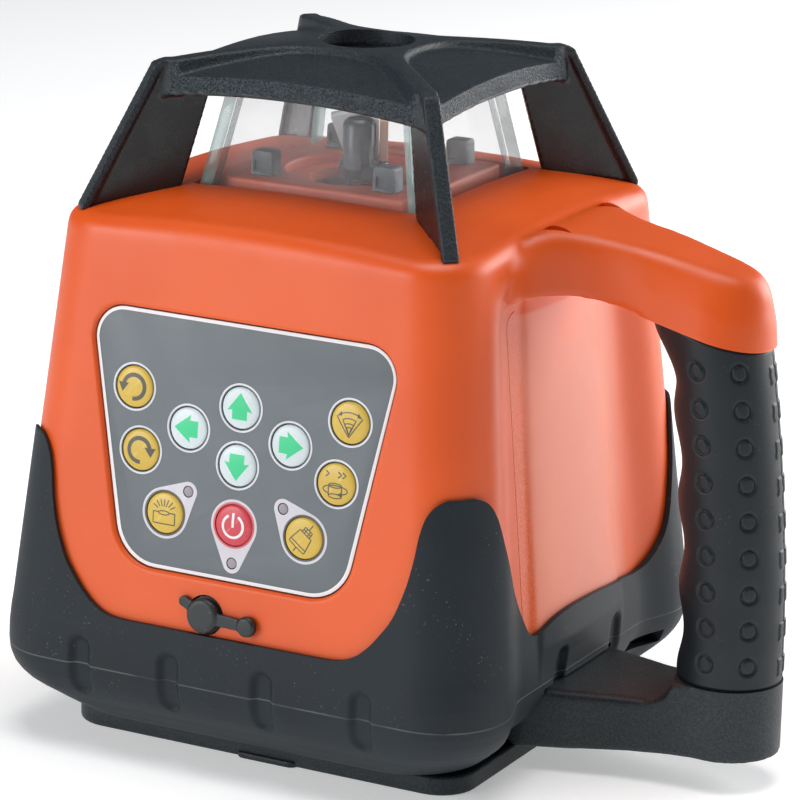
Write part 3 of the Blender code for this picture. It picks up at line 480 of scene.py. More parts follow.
def painted(tree, shader, tint, rough, layers):
    """Links a colour, a roughness and the layers of bumps."""
    tree.links.new(tint, shader.inputs["Base Color"])
    tree.links.new(rough, shader.inputs["Roughness"])
    bumped(tree, shader, layers)


def bumped(tree, shader, layers):
    """Chains (height, strength, distance) bumps into the shader's normal."""
    normal = None
    for height, strength, distance in layers:
        inputs = {"Height": height, "Strength": strength, "Distance": distance}
        if normal:
            inputs["Normal"] = normal
        normal = add_node(tree, "ShaderNodeBump", inputs).outputs["Normal"]
    tree.links.new(normal, shader.inputs["Normal"])


def moulded(name, colour, roughness, grain_mm=0.35, grain=0.25, mottle=0.10, wear=0.35,
            wear_colour=None, dust=0.0, specular=0.5):
    """Moulded plastic or rubber: mottled colour, fine grain and rubbed edges."""
    material, tree, shader, place = base(name)
    colour = Vector(colour)
    broad = noise(tree, place, 28.0, 4.0, 0.6)
    fine = noise(tree, place, 1000.0 / grain_mm, 2.0, 0.55)
    smudge = noise(tree, place, 95.0, 5.0, 0.65)
    tint = blend(tree, spread(tree, broad), colour * (1.0 - mottle), colour * (1.0 + mottle))
    rubbed = times(tree, span(tree, pointiness(tree), 0.52, 0.60, 0.0, 1.0),
                   span(tree, smudge, 0.35, 0.65, 0.3, wear * 2.0))
    worn = Vector(wear_colour) if wear_colour else colour * 1.35 + Vector((0.02, 0.02, 0.02))
    tint = blend(tree, rubbed, tint, worn)
    if dust:
        clumps = span(tree, noise(tree, place, 120.0, 3.0, 0.6), 0.5, 0.7, 0.0, dust)
        tint = add_dust(tree, place, tint, 1600.0, 0.76, clumps, (0.26, 0.26, 0.24))
    rough = maths(tree, "ADD", spread(tree, smudge, roughness - 0.05, roughness + 0.06),
                  spread(tree, fine, -0.03, 0.03))
    shader.inputs["Specular IOR Level"].default_value = specular
    painted(tree, shader, tint, rough, [(fine, grain, grain_mm * 0.1 * MM), (smudge, 0.12, 0.05 * MM)])
    return material


def housing_material():
    """Satin orange ABS, sandy in a strip of the side recess; its side panel is painted paler, a painted
    reflection of the bright studio.
    """
    material, tree, shader, place = base("housing_orange")
    xyz = add_node(tree, "ShaderNodeSeparateXYZ", {"Vector": place}).outputs
    broad = noise(tree, place, 16.0, 3.0, 0.5)
    fine = noise(tree, place, 3200.0, 2.0, 0.6)
    smudge = noise(tree, place, 70.0, 5.0, 0.6)
    tint = blend(tree, spread(tree, broad), (0.72, 0.082, 0.002), (0.79, 0.099, 0.004))
    below_arm = span(tree, xyz["Z"], 0.1290, 0.1305, 1.0, 0.0)
    strip = times(tree, band(tree, xyz["Y"], -0.0330, -0.0318, -0.0252, -0.0240),
                  span(tree, xyz["X"], 0.028, 0.032, 0.0, 1.0), below_arm)
    sand = span(tree, noise(tree, place, 1500.0, 1.0, 0.5), 0.45, 0.62, 0.0, 0.35)
    tint = blend(tree, times(tree, strip, sand), tint, (0.72, 0.27, 0.16))
    # Painted reflection: the side panel is painted paler to stand in for the white sheen it reflects.
    painted_panel_reflection = times(tree, band(tree, xyz["X"], 0.028, 0.032, 0.0500, 0.0520),
                  band(tree, xyz["Y"], -0.0262, -0.0236, 0.0260, 0.0370), below_arm)
    tint = blend(tree, times(tree, painted_panel_reflection, 0.40), tint, (0.86, 0.42, 0.32))
    rubbed = times(tree, span(tree, pointiness(tree), 0.515, 0.57, 0.0, 1.0),
                   span(tree, smudge, 0.35, 0.65, 0.1, 0.4))
    tint = blend(tree, rubbed, tint, (0.92, 0.22, 0.06))
    shader.inputs["Specular IOR Level"].default_value = 0.58
    painted(tree, shader, tint, spread(tree, smudge, 0.40, 0.47), [(fine, 0.22, 0.03 * MM)])
    return material


def boot_material():
    """Matt blue-grey rubber with dust specks; near its foot the mould line is painted pale, a painted
    highlight on its small ridge.
    """
    material, tree, shader, place = base("boot_rubber")
    height = add_node(tree, "ShaderNodeSeparateXYZ", {"Vector": place}).outputs["Z"]
    broad = noise(tree, place, 35.0, 4.0, 0.6)
    fine = noise(tree, place, 2300.0, 2.0, 0.6)
    clumps = noise(tree, place, 60.0, 3.0, 0.6)
    tint = blend(tree, spread(tree, broad), (0.008, 0.0135, 0.018), (0.014, 0.021, 0.027))
    tint = add_dust(tree, place, tint, 1500.0, 0.75, span(tree, clumps, 0.45, 0.70, 0.0, 0.45),
                    (0.28, 0.29, 0.26))
    offset = maths(tree, "ABSOLUTE", maths(tree, "SUBTRACT", height, MOULD_LINE_Z * MM))
    # Painted highlight: a pale line along the mould line's ridge, patchy with the dust clumps.
    line = times(tree, span(tree, offset, 0.00010, 0.00030, 1.0, 0.0),
                 span(tree, clumps, 0.35, 0.6, 0.15, 0.75))
    tint = blend(tree, line, tint, (0.11, 0.125, 0.125))
    tint = blend(tree, span(tree, pointiness(tree), 0.53, 0.62, 0.0, 0.40), tint, (0.05, 0.058, 0.062))
    shader.inputs["Specular IOR Level"].default_value = 0.32
    ridge = span(tree, offset, 0.0, 0.0005, 1.0, 0.0)
    painted(tree, shader, tint, spread(tree, broad, 0.54, 0.64),
            [(fine, 0.30, 0.04 * MM), (ridge, 0.5, 0.2 * MM)])
    return material


def spark_material(name, depth, colour, roughness, strength=0.6, glint_contrast=0.45):
    """Black plastic with the coarse leathery texture of a spark-eroded mould; the grain's high points are
    painted lighter as painted glints.
    """
    material, tree, shader, place = base(name)
    cells = add_node(tree, "ShaderNodeTexVoronoi", {"Vector": place, "Scale": 1.0 / SPARK_CELL},
                     feature="SMOOTH_F1").outputs["Distance"]
    fine = noise(tree, place, 1.6 / SPARK_CELL, 3.0, 0.6)
    broad = noise(tree, place, 40.0, 3.0, 0.5)
    height = maths(tree, "ADD", times(tree, cells, 0.8), fine)
    low = Vector(colour)
    # Grain tone, its high points also painted lighter as painted glints.
    tint = blend(tree, span(tree, height, 0.55, 1.05, 0.0, 1.0),
                 low * (1.0 - glint_contrast), low * (1.0 + 2.0 * glint_contrast))
    tint = blend(tree, span(tree, pointiness(tree), 0.53, 0.62, 0.0, 0.5), tint, low * 3.2)
    shader.inputs["Specular IOR Level"].default_value = 0.40
    painted(tree, shader, tint, spread(tree, broad, roughness - 0.05, roughness + 0.07),
            [(height, strength, depth)])
    return material


def glass_material(name, colour, alpha, grazing_painted_reflection, roughness=0.04):
    """Thin clear pane: mostly see-through, with smudges and a faint pale haze that is a painted reflection,
    thicker at grazing angles.
    """
    material, tree, shader, place = base(name)
    smudge = noise(tree, place, 55.0, 5.0, 0.65)
    tint = blend(tree, spread(tree, smudge), Vector(colour) * 0.94, colour)
    facing = add_node(tree, "ShaderNodeLayerWeight", {"Blend": 0.25}).outputs["Facing"]
    # Painted reflection: a pale haze at low alpha, varied by the smudges and thicker towards grazing angles.
    smudged_painted_reflection = spread(tree, smudge, alpha * 0.9, alpha * 1.1)
    tree.links.new(maths(tree, "ADD", smudged_painted_reflection, span(tree, facing, 0.3, 1.0, 0.0, grazing_painted_reflection)),
                   shader.inputs["Alpha"])
    painted(tree, shader, tint, spread(tree, smudge, roughness, roughness + 0.06),
            [(smudge, 0.05, 0.05 * MM)])
    return material


def brushed(name, colour, roughness, stretch=(1.0, 1.0, 14.0)):
    """Machined metal with streaks along the wide axis."""
    material, tree, shader, place = base(name)
    mapping = add_node(tree, "ShaderNodeMapping", {"Vector": place, "Scale": stretch}).outputs[0]
    streaks = noise(tree, mapping, 420.0, 4.0, 0.6)
    broad = noise(tree, place, 60.0, 3.0, 0.5)
    low = Vector(colour)
    tint = blend(tree, spread(tree, streaks), low * 0.82, low * 1.08)
    rough = maths(tree, "ADD", spread(tree, streaks, roughness - 0.06, roughness + 0.08),
                  spread(tree, broad, -0.03, 0.03))
    shader.inputs["Metallic"].default_value = 1.0
    painted(tree, shader, tint, rough, [(streaks, 0.15, 0.02 * MM)])
    return material


def board_material():
    """Green circuit board with copper tracks under the mask."""
    material, tree, shader, place = base("circuit_board")
    bricks = add_node(tree, "ShaderNodeTexBrick", {"Vector": place, "Scale": 160.0, "Mortar Size": 0.06,
                                                   "Mortar Smooth": 0.2}).outputs["Fac"]
    speckle = noise(tree, place, 300.0, 3.0, 0.5)
    tint = blend(tree, bricks, (0.012, 0.11, 0.045), (0.03, 0.22, 0.09))
    tint = blend(tree, span(tree, speckle, 0.66, 0.70, 0.0, 0.8), tint, (0.65, 0.62, 0.55))
    painted(tree, shader, tint, spread(tree, speckle, 0.32, 0.46), [(bricks, 0.4, 0.05 * MM)])
    return material


ORANGE = housing_material()
BOOT = boot_material()
RUBBER = moulded("grip_rubber", (0.011, 0.016, 0.020), 0.46, 0.30, 0.30, 0.10, 0.3,
                 (0.04, 0.048, 0.054), dust=0.4, specular=0.36)
SPARK = spark_material("cage_spark", 0.20 * MM, (0.012, 0.017, 0.021), 0.38, 0.8)
RIM_SPARK = spark_material("cage_rim_spark", 0.55 * MM, (0.020, 0.028, 0.034), 0.30, 1.0, 0.8)
WEB = moulded("cage_web", (0.009, 0.012, 0.014), 0.28, 0.5, 0.06, 0.12, 0.3, (0.04, 0.046, 0.05))
CHASSIS = spark_material("chassis_spark", 0.12 * MM, (0.010, 0.015, 0.018), 0.46)
OVERLAY = moulded("keypad_overlay", (0.125, 0.148, 0.162), 0.42, 0.25, 0.18, 0.05, 0.1, (0.2, 0.22, 0.24))
PRINT_WHITE = moulded("print_white", (0.84, 0.83, 0.84), 0.40, 0.2, 0.05, 0.03, 0.0)
RING_WHITE = moulded("print_ring", (0.66, 0.67, 0.70), 0.40, 0.2, 0.05, 0.03, 0.0)
LILAC = moulded("print_lilac", (0.62, 0.60, 0.65), 0.38, 0.2, 0.05, 0.03, 0.0)
YELLOW = moulded("key_yellow", (0.66, 0.45, 0.070), 0.30, 0.4, 0.10, 0.05, 0.2, (0.78, 0.62, 0.2))
KEY_WHITE = moulded("key_white", (0.66, 0.74, 0.76), 0.28, 0.4, 0.10, 0.04, 0.1)
RED = moulded("key_red", (0.64, 0.060, 0.085), 0.30, 0.4, 0.10, 0.05, 0.2, (0.8, 0.2, 0.2))
GREEN = moulded("print_green", (0.045, 0.62, 0.27), 0.40, 0.2, 0.04, 0.04, 0.0)
INK = moulded("print_ink", (0.095, 0.090, 0.070), 0.45, 0.2, 0.04, 0.05, 0.0)
LENS = moulded("lamp_lens", (0.33, 0.30, 0.33), 0.45, 0.4, 0.08, 0.06, 0.1)
GREY = moulded("grey_plastic", (0.036, 0.066, 0.082), 0.38, 0.4, 0.15, 0.08, 0.5, (0.25, 0.30, 0.32))
HEAD_GREY = moulded("head_plastic", (0.012, 0.024, 0.032), 0.25, 0.5, 0.10, 0.10, 0.4, (0.2, 0.25, 0.28))
PLUG_RUBBER = moulded("plug_rubber", (0.015, 0.020, 0.023), 0.45, 0.3, 0.2, 0.10, 0.5,
                      (0.08, 0.09, 0.1), dust=0.5)
GLASS = glass_material("window_glass", (0.80, 0.83, 0.86), 0.085, 0.14)
GLASS_EDGE = glass_material("window_edge", (0.17, 0.37, 0.35), 0.62, 0.3, 0.08)
PRISM_FACE = glass_material("prism_glass", (0.94, 0.96, 0.96), 0.90, 0.1)
PEACH = moulded("prism_clip", (0.80, 0.52, 0.38), 0.25, 0.5, 0.08, 0.05, 0.2)
BRASS = brushed("brass", (0.72, 0.52, 0.22), 0.28)
STEEL = brushed("steel", (0.56, 0.57, 0.59), 0.26)
ALUMINIUM = brushed("aluminium", (0.66, 0.67, 0.69), 0.36, (1.0, 12.0, 1.0))
BOARD = board_material()
WRAP = moulded("battery_wrap", (0.045, 0.13, 0.38), 0.28, 0.8, 0.08, 0.08, 0.3, (0.15, 0.3, 0.6))
BLACK = moulded("black_plastic", (0.014, 0.018, 0.020), 0.42, 0.35, 0.2, 0.10, 0.5, (0.08, 0.085, 0.09))


# ---------------------------------------------------------------- housing

SIDE_STEPS = 96
CORNER_STEPS = 14


def side_inset(t, depth, panel):
    """Depth of the right side's recess at stations t, less its raised panel."""
    t = np.abs(t)
    inset = depth * (1.0 - smoothstep(0.66, 0.98, t))
    raised = 0.7 * smoothstep(0.485, 0.455, t) + 1.9 * np.clip(1.0 - (t / 0.47) ** 2, 0.0, 1.0)
    return inset - panel * depth / SIDE_RECESS * raised


def body_ring(half, radius, z, recess=0.0, crown=0.0, panel=1.0):
    """A rounded square at a height, with the hand recess in its right side."""
    reach = half - radius
    stations = np.linspace(-1.0, 1.0, SIDE_STEPS, endpoint=False)
    inset = side_inset(stations, recess, panel)
    ring = []
    for k in range(4):
        spin = Matrix.Rotation(k * math.pi / 2, 2)
        side = [(half - (inset[i] if k == 0 else 0.0), t * reach, z + crown * (1.0 - t * t))
                for i, t in enumerate(stations)]
        side += [(x, y, z) for x, y in arc((reach, reach), radius, 0.0, 90.0, CORNER_STEPS)[:-1]]
        for x, y, height in side:
            flat = spin @ Vector((x, y))
            ring.append((flat.x, flat.y, height))
    return ring


def recess_at(z):
    return SIDE_RECESS * (1.0 - float(smoothstep(RECESS_FULL_Z, RECESS_END_Z, z)))


def housing_rings():
    rings = []
    for z in np.append(np.arange(HOUSING_FOOT_Z, 38.0, 4.0), 38.0):
        rings.append(body_ring(HIDDEN_HALF, PLAN_RADIUS, z, SIDE_RECESS))
    walls = np.append(np.arange(39.5, RECESS_FULL_Z, 6.0), np.arange(RECESS_FULL_Z, SHOULDER_Z + 0.1, 2.0))
    for z in walls:
        rings.append(body_ring(wall_half(z), PLAN_RADIUS, z, recess_at(z)))
    top_half = wall_half(SHOULDER_Z)
    for angle in range(12, 91, 13):
        a = math.radians(angle)
        shrink = SHOULDER_RADIUS * (1.0 - math.cos(a))
        rings.append(body_ring(top_half - shrink, PLAN_RADIUS - shrink,
                               SHOULDER_Z + SHOULDER_RISE * math.sin(a), 0.0, 2.0 * math.sin(a)))
    shoulder_half = top_half - SHOULDER_RADIUS
    shoulder_top = SHOULDER_Z + SHOULDER_RISE
    for share in (0.15, 0.3, 0.45, 0.6, 0.75, 0.9, 1.0):
        half = shoulder_half + (RIM_HALF + 0.6 - shoulder_half) * share
        z = shoulder_top + (RIM_Z - 0.4 - shoulder_top) * (1.0 - (1.0 - share) ** 1.25)
        rings.append(body_ring(half, 11.0 - 7.5 * share, z, 0.0, 2.0 - 1.2 * share))
    rings.append(body_ring(RIM_HALF - 4.0, 3.0, RIM_Z, 0.0, 0.4))
    return rings


def seam_z(x):
    return GRIP_TOP_Z + SEAM_SLOPE * (x - SEAM_X)


def arm_top(x):
    roll = max(0.0, x - 117.0)
    root = 1.7 * (1.0 - float(smoothstep(60.0, 88.0, x)))
    root -= 1.3 * (1.0 - float(smoothstep(56.0, 72.0, x)))
    droop = 0.00235 * max(0.0, x - 62.0) ** 2 + 1.0 * float(smoothstep(85.0, 112.0, x))
    return ARM_TOP_Z + root - droop + 0.02 * max(0.0, x - 112.0) - 0.03 * roll * roll


def arm_bottom(x):
    """Underside of the arm, with stock below the seam that its cutter takes off."""
    before = max(0.0, 92.0 - x)
    flat = seam_z(max(x, 92.0)) + 0.3 + 0.25 * before - 0.0048 * before * before
    return flat - 3.0 * float(smoothstep(92.0, 98.0, x))


def root_drop(y):
    """Lets the flanks of the arm's root sink into the housing's shoulder."""
    return 4.6 * float(smoothstep(19.0, 36.0, abs(y)))


def arm_taper(outline, share):
    """Draws the arm's plan in towards its end, fully at its top face."""
    return [(x, y * (1.0 - share * 0.36 * float(smoothstep(76.0, 120.0, x)))) for x, y in outline]


def arm_outline(inset, pull):
    """Plan of the upper arm from root to root; pull shortens its far end."""
    fillet = arc((85.4, -36.0), 20.0 + inset, 180.0, 90.0, 12)
    straight = [(x, inset - ARM_HALF) for x in np.arange(88.4, 111.0, 3.0)]
    end = arc((ARM_END - ARM_HALF - pull, 0.0), ARM_HALF - inset, -90.0, 0.0, 14)
    lower = [(46.0, -36.0)] + fillet + straight + end
    return lower + [(x, -y) for x, y in lower[-2::-1]]


def upper_arm():
    """The housing's arm over the grip, its upper edges rounded."""
    bm = bmesh.new()
    low = arm_outline(0.0, 0.0)
    rows = [[(x, y, arm_bottom(x)) for x, y in low]]
    middle = arm_taper(arm_outline(0.2, 0.4), 0.30)
    rows.append([(x, y, 0.5 * (arm_bottom(x) + arm_top(x))) for x, y in middle])
    for angle in range(0, 91, 15):
        a = math.radians(angle)
        sink = ARM_EDGE * (1.0 - math.sin(a))
        inset = 0.5 + ARM_EDGE * (1.0 - math.cos(a))
        ring = arm_taper(arm_outline(inset, 1.2), 0.7 + 0.3 * math.sin(a))
        rows.append([(x, y, arm_top(x) - sink - root_drop(y)) for x, y in ring])
    verts = [[bm.verts.new(p) for p in row] for row in rows]
    skin(bm, verts)
    count = len(low)
    for row in (verts[0], verts[-1]):
        for i in range(count // 2):
            j = count - 1 - i
            unique = list(dict.fromkeys([row[i], row[i + 1], row[j - 1], row[j]]))
            if len(unique) > 2:
                bm.faces.new(unique)
    return bm


def panel_outline(grow=0.0):
    top, foot = 30.8 + grow, -40.3 - grow
    return rounded_polygon([
        (48.4 + grow, top, 9.0 + grow), (-48.4 - grow, top, 9.0 + grow),
        (-34.8 - grow, foot, 13.0 + grow), (34.8 + grow, foot, 13.0 + grow),
    ], 10)


def lipped_cutter(outline_at, gap, lip, depth):
    """A cutter that leaves a rounded lip where it leaves the wall at z = 0."""
    rounded = [(gap + out, z) for out, z in lip_profile(lip)]
    wide = rounded[-1][0] + 2.0
    rings = [(gap, -depth)] + rounded + [(wide, 0.6), (wide, 5.0)]
    return loft([at_height(outline_at(grow), z) for grow, z in rings])


FIN_FOOT = [(65.6, 153.5), (69.2, 152.7), (73.6, 151.8), (78.0, 150.9), (80.7, 150.2)]
TENON = [(54.6, 155.2), (54.6, 150.2), (65.4, 150.2), (65.4, 156.0), (54.6, 157.0)]


def fin_shapes():
    """The web and the outer bar of the fin along +x, in (distance, height)."""
    web = [(52.6, 155.6), (54.6, 155.2), (54.6, 150.2), (65.4, 150.2)] + FIN_FOOT
    web += [(81.1, 151.2), (60.3, 190.2), (57.4, 191.3), (43.4, 189.2), (45.5, 180.0)]
    bar = [(79.0, 150.6), (80.9, 150.0), (81.4, 151.2), (60.6, 190.4), (57.4, 191.5), (54.0, 191.4),
           (58.9, 188.6)]
    return [upright(web, -WEB_HALF, WEB_HALF), upright(bar, -BAR_HALF, BAR_HALF)]


def parting_groove():
    """A hair groove up the right side at the front of its panel, and over it."""
    rows = [(-32.0, z) for z in list(np.arange(40.0, 127.0, 3.0)) + [127.0]]
    rows += [(-31.6, 128.6), (-30.6, 130.0), (-29.2, 130.9), (-27.4, 131.4)]
    rings = []
    for i, (y, z) in enumerate(rows):
        x = wall_half(z) - recess_at(z)
        ahead = rows[min(i + 1, len(rows) - 1)]
        behind = rows[max(i - 1, 0)]
        run = Vector((0.0, ahead[0] - behind[0], ahead[1] - behind[1])).normalized()
        side = Vector((0.0, -run.z, run.y)) * 0.14
        here = Vector((x, y, z))
        above, below = Vector((1.6, 0.0, 0.0)), Vector((-0.6, 0.0, 0.0))
        rings.append([here + side + above, here - side + above, here - side + below, here + side + below])
    return loft(rings)


def make_housing():
    body = together([temp(loft(housing_rings())), temp(upper_arm())])
    body = melted(body, 1.0, 10)
    below_seam = [(90.0, 100.0), (142.0, 100.0), (142.0, seam_z(142.0) + 0.3), (90.0, seam_z(90.0) + 0.3)]
    cut(body, upright(below_seam, -30.0, 30.0))
    inner = []
    for z in (10.0, 37.0, 39.5, RECESS_FULL_Z, 138.0, 145.0):
        half = HIDDEN_HALF if z < 38.0 else wall_half(z)
        recess = recess_at(min(z, 138.0))
        inner.append(body_ring(half - WALL, PLAN_RADIUS - WALL, z, recess, panel=0.0))
    cut(body, loft(inner))
    cut(body, prism(rounded_box(RIM_HALF, RIM_HALF, 2.0), 147.0, 165.0))
    cut(body, prism(rounded_box(32.0, 32.0, 1.5), 140.0, 150.0))
    cut(body, moved(lipped_cutter(panel_outline, 0.30, 1.1, 12.0), matrix=FRONT))
    cut(body, moved(prism(circle(5.6), -12.0, 5.0), matrix=JACK))
    door = lipped_cutter(lambda grow: rounded_box(DOOR_HALF_U + grow, DOOR_HALF_V + grow, 1.5 + grow),
                         0.6, 0.6, 12.0)
    cut(body, moved(door, matrix=BACK))
    for y in (-SIGHT_Y, SIGHT_Y):
        notch = [(64.0, y - 3.9), (72.6, y), (64.0, y + 3.9)]
        cut(body, prism(notch, SIGHT_FLOOR_Z, 160.0))
    for k in range(4):
        slot = upright(TENON, -WEB_HALF - 0.1, WEB_HALF + 0.1)
        cut(body, moved(slot, matrix=spun(45.0 + 90.0 * k)))
    cut(body, parting_groove())
    cut(body, lower_arm(0.5, -3.0))
    finished(body, "housing_shell", ORANGE, "casing", ["main_housing"], 30.0)


# ---------------------------------------------------------------- boot, chassis, base

# Upper edge of the boot, as (across, z) points; HORN_EDGE climbs the horn of a corner
HORN_EDGE = [(56.5, 73.0), (57.2, 78.2), (58.5, 83.5), (60.6, 86.9), (63.4, 88.7), (67.0, 89.2),
             (90.0, 89.3)]
FRONT_EDGE = [(0.0, 41.2), (20.0, 41.2), (34.0, 41.4), (40.0, 43.2), (44.6, 46.9), (48.1, 51.1),
              (51.0, 55.3), (53.1, 60.1), (55.1, 66.2)] + HORN_EDGE
RIGHT_EDGE = [(-90.0, 89.3), (-66.0, 89.2), (-61.0, 88.4), (-57.6, 86.4), (-55.0, 82.6), (-53.2, 78.2),
              (-51.4, 73.0), (-47.8, 66.0), (-42.6, 59.6), (-38.8, 54.4), (-35.4, 48.4), (-32.0, 43.2),
              (-28.2, 41.3), (-23.0, 42.6), (-17.0, 44.2), (-9.0, 45.0), (0.0, 45.0), (10.0, 44.4),
              (22.0, 43.0), (34.0, 41.8), (40.0, 42.2), (43.6, 43.8), (47.0, 47.0), (50.0, 51.2),
              (52.6, 57.6), (54.8, 66.0)] + HORN_EDGE


def boot_edge(points):
    """A smooth opening outline in (across, z) through points, closed far above."""
    smooth = []
    for i in range(len(points) - 1):
        p0, p1 = Vector(points[max(i - 1, 0)]), Vector(points[i])
        p2, p3 = Vector(points[i + 1]), Vector(points[min(i + 2, len(points) - 1)])
        for k in range(5):
            t = k / 5.0
            smooth.append(tuple(0.5 * (2 * p1 + (p2 - p0) * t + (2 * p0 - 5 * p1 + 4 * p2 - p3) * t * t
                                       + (3 * p1 - p0 - 3 * p2 + p3) * t ** 3)))
    return smooth + [points[-1], (90.0, 120.0), (-90.0, 120.0)]


# Places of the dents along each side, by (axis along the side, sign of the side)
DENTS = {(0, -1): (-45.0, -16.5, 13.0, 43.5), (0, 1): (-40.0, -13.0, 13.0, 40.0),
         (1, 1): (-14.0, 21.5), (1, -1): (-40.0, -13.0, 13.0, 40.0)}


def boot_profile():
    """Rows of (height, outer half width, inner half width)."""
    rows = [(5.9, 60.0, 57.2), (7.4, 62.6, 57.4), (9.4, 65.0, 59.4), (11.2, 67.2, 62.0), (13.0, 69.2, 65.0),
            (15.0, 71.6, 67.6), (17.0, 73.6, 69.6), (19.0, 75.0, 71.6), (21.0, 76.0, HIDDEN_HALF + BOOT_GAP),
            (24.0, 76.8, HIDDEN_HALF + BOOT_GAP), (27.0, 77.0, HIDDEN_HALF + BOOT_GAP),
            (32.0, 76.9, HIDDEN_HALF + 0.4), (37.0, 76.5, HIDDEN_HALF + 0.4)]
    for z in (39.5, 52.0, 66.0, 80.0, BOOT_TOP_Z):
        rows.append((z, wall_half(z) + BOOT_PROUD, wall_half(z) + BOOT_GAP))
    return rows


def press_dents(obj):
    """Pushes the soft upright dents into the four sides."""
    co = points_of(obj)
    for (across, side), places in DENTS.items():
        wall = 1 - across
        for place in places:
            along = np.maximum(0.0, np.abs(co[:, 2] - DENT_Z) - DENT_REACH)
            share = 1.0 - smoothstep(1.7, 3.9, np.hypot(co[:, across] - place, along))
            co[:, wall] -= np.where(co[:, wall] * side > 66.0, side * DENT_DEPTH * share, 0.0)
    set_points(obj, co)


def make_boot():
    outer, inner = [], []
    for z, out_half, in_half in boot_profile():
        panel = float(smoothstep(28.0, 38.0, z))
        outer.append(body_ring(out_half, BOOT_RADIUS, z, SIDE_RECESS, panel=panel))
        inner.append(body_ring(in_half, PLAN_RADIUS + BOOT_GAP, z, SIDE_RECESS))
    inner.insert(0, [(x, y, z - 3.0) for x, y, z in inner[0]])
    inner.append([(x, y, z + 3.0) for x, y, z in inner[-1]])
    boot = temp(loft(outer))
    cut(boot, loft(inner))
    boot = melted(boot, 0.55, 3)
    both_ways = [(-x, z) for x, z in FRONT_EDGE[:0:-1]] + FRONT_EDGE
    for turn, low, points in ((0.0, -100.0, both_ways), (90.0, 0.0, RIGHT_EDGE), (270.0, 0.0, both_ways)):
        cut(boot, moved(upright(boot_edge(points), low, 100.0), matrix=spun(turn)))
    press_dents(boot)
    cut(boot, lower_arm(0.45, -3.0))
    cut(boot, box((68.0, 34.0, 17.6), (80.0, 50.0, 21.4)))
    finished(boot, "boot_skin", BOOT, "casing", ["rubber_boot"], 40.0)


def lower_arm(grow, drop):
    top, low = LOWER_ARM_TOP_Z + grow, CHASSIS_Z + 0.4 + drop
    half = [(44.0, 25.0), (66.0, 24.0), (78.0, 21.0), (92.0, 16.8), (104.0, 14.4), (GRIP_FOOT_X, 13.0)]
    outline = [(x, -w - grow) for x, w in half] + [(x, w + grow) for x, w in half[::-1]]
    return prism(outline, low, top)


def visible_lower_arm():
    """The lower arm with its sloping underside and the ramp up to the foot's collar."""
    stations = [(44.0, 25.0, 8.9, 24.0), (60.0, 24.4, 8.9, 24.0), (63.0, 24.2, 6.2, 24.0),
                (66.0, 24.0, 6.3, 24.0), (78.0, 21.0, 7.0, 24.0), (92.0, 17.0, 7.9, 24.0),
                (99.0, 15.9, 8.3, 24.0), (102.0, 15.6, 8.6, 24.6), (104.5, 15.3, 8.7, 26.6),
                (106.4, 15.2, 8.8, 30.0), (GRIP_FOOT_X, 14.9, 9.3, 30.0)]
    rings = []
    for x, half, low, top in stations:
        middle, tall = 0.5 * (low + top), 0.5 * (top - low)
        rings.append([(x, y, middle + z) for y, z in rounded_box(half, tall, 2.0, 4)])
    return loft(rings)


def make_chassis():
    rows = [(CHASSIS_Z + 0.2, 56.0), (10.0, 58.6), (13.0, 64.2), (17.0, 68.8), (20.2, 71.4)]
    rings = [body_ring(half, PLAN_RADIUS, z, SIDE_RECESS, panel=0.0) for z, half in rows]
    foot = circle(GRIP_RADIUS_X - 0.1, 64, (GRIP_FOOT_X, 0.0))
    foot = prism(foot, FOOT_BOTTOM_Z - 0.1, GRIP_FOOT_Z + 3.0)
    body = together([temp(loft(rings)), temp(visible_lower_arm()), temp(foot)])
    body = melted(body, 0.8, 8)
    cut(body, prism(circle(30.0, 24, (GRIP_FOOT_X, 0.0)), GRIP_FOOT_Z - 0.1, 60.0))
    hollow = [body_ring(half - 3.0, PLAN_RADIUS - 3.0, z, SIDE_RECESS, panel=0.0)
              for z, half in ((12.0, 62.0), (17.0, 69.0), (24.0, 73.0))]
    hollow = temp(loft(hollow))
    cut(hollow, box((79.0, -30.0, 0.0), (140.0, 30.0, 60.0)))
    boolean(body, hollow, "DIFFERENCE")
    cut(body, prism(circle(12.4), 0.0, 40.0))
    finished(body, "chassis_shell", CHASSIS, "casing", ["lower_chassis"], 40.0)


def make_base():
    plate = temp(soft_box(62.5, 55.5, 11.0, 0.0, 5.6, 1.0))
    add(plate, prism(rounded_box(56.4, 52.0, 8.0), 4.0, 8.0))
    add(plate, moved(soft_box(9.5, 6.0, 2.5, 0.0, 1.8, 0.5), (3.0, -50.8, 0.0)))
    cut(plate, prism(circle(15.4), -5.0, 20.0))
    cut(plate, turned([(30.0, -0.5), (33.0, -0.5), (33.0, 0.5), (30.0, 0.5)], 96, closed=True))
    for x in (-46.0, 46.0):
        for y in (-41.0, 41.0):
            cut(plate, moved(prism(circle(3.4, 40), -1.0, 3.2), (x, y, 0.0)))
    finished(plate, "base_plate_skin", CHASSIS, "casing", ["base_plate"], 40.0)


# ---------------------------------------------------------------- grip

def handle_centre(z):
    return GRIP_FOOT_X - 0.00086 * np.maximum(0.0, z - 35.0) ** 2


def arc_from(a, degrees):
    """Distance round the grip from a direction."""
    off = (np.degrees(a) - degrees + 180.0) % 360.0 - 180.0
    return np.radians(off) * GRIP_RADIUS_X


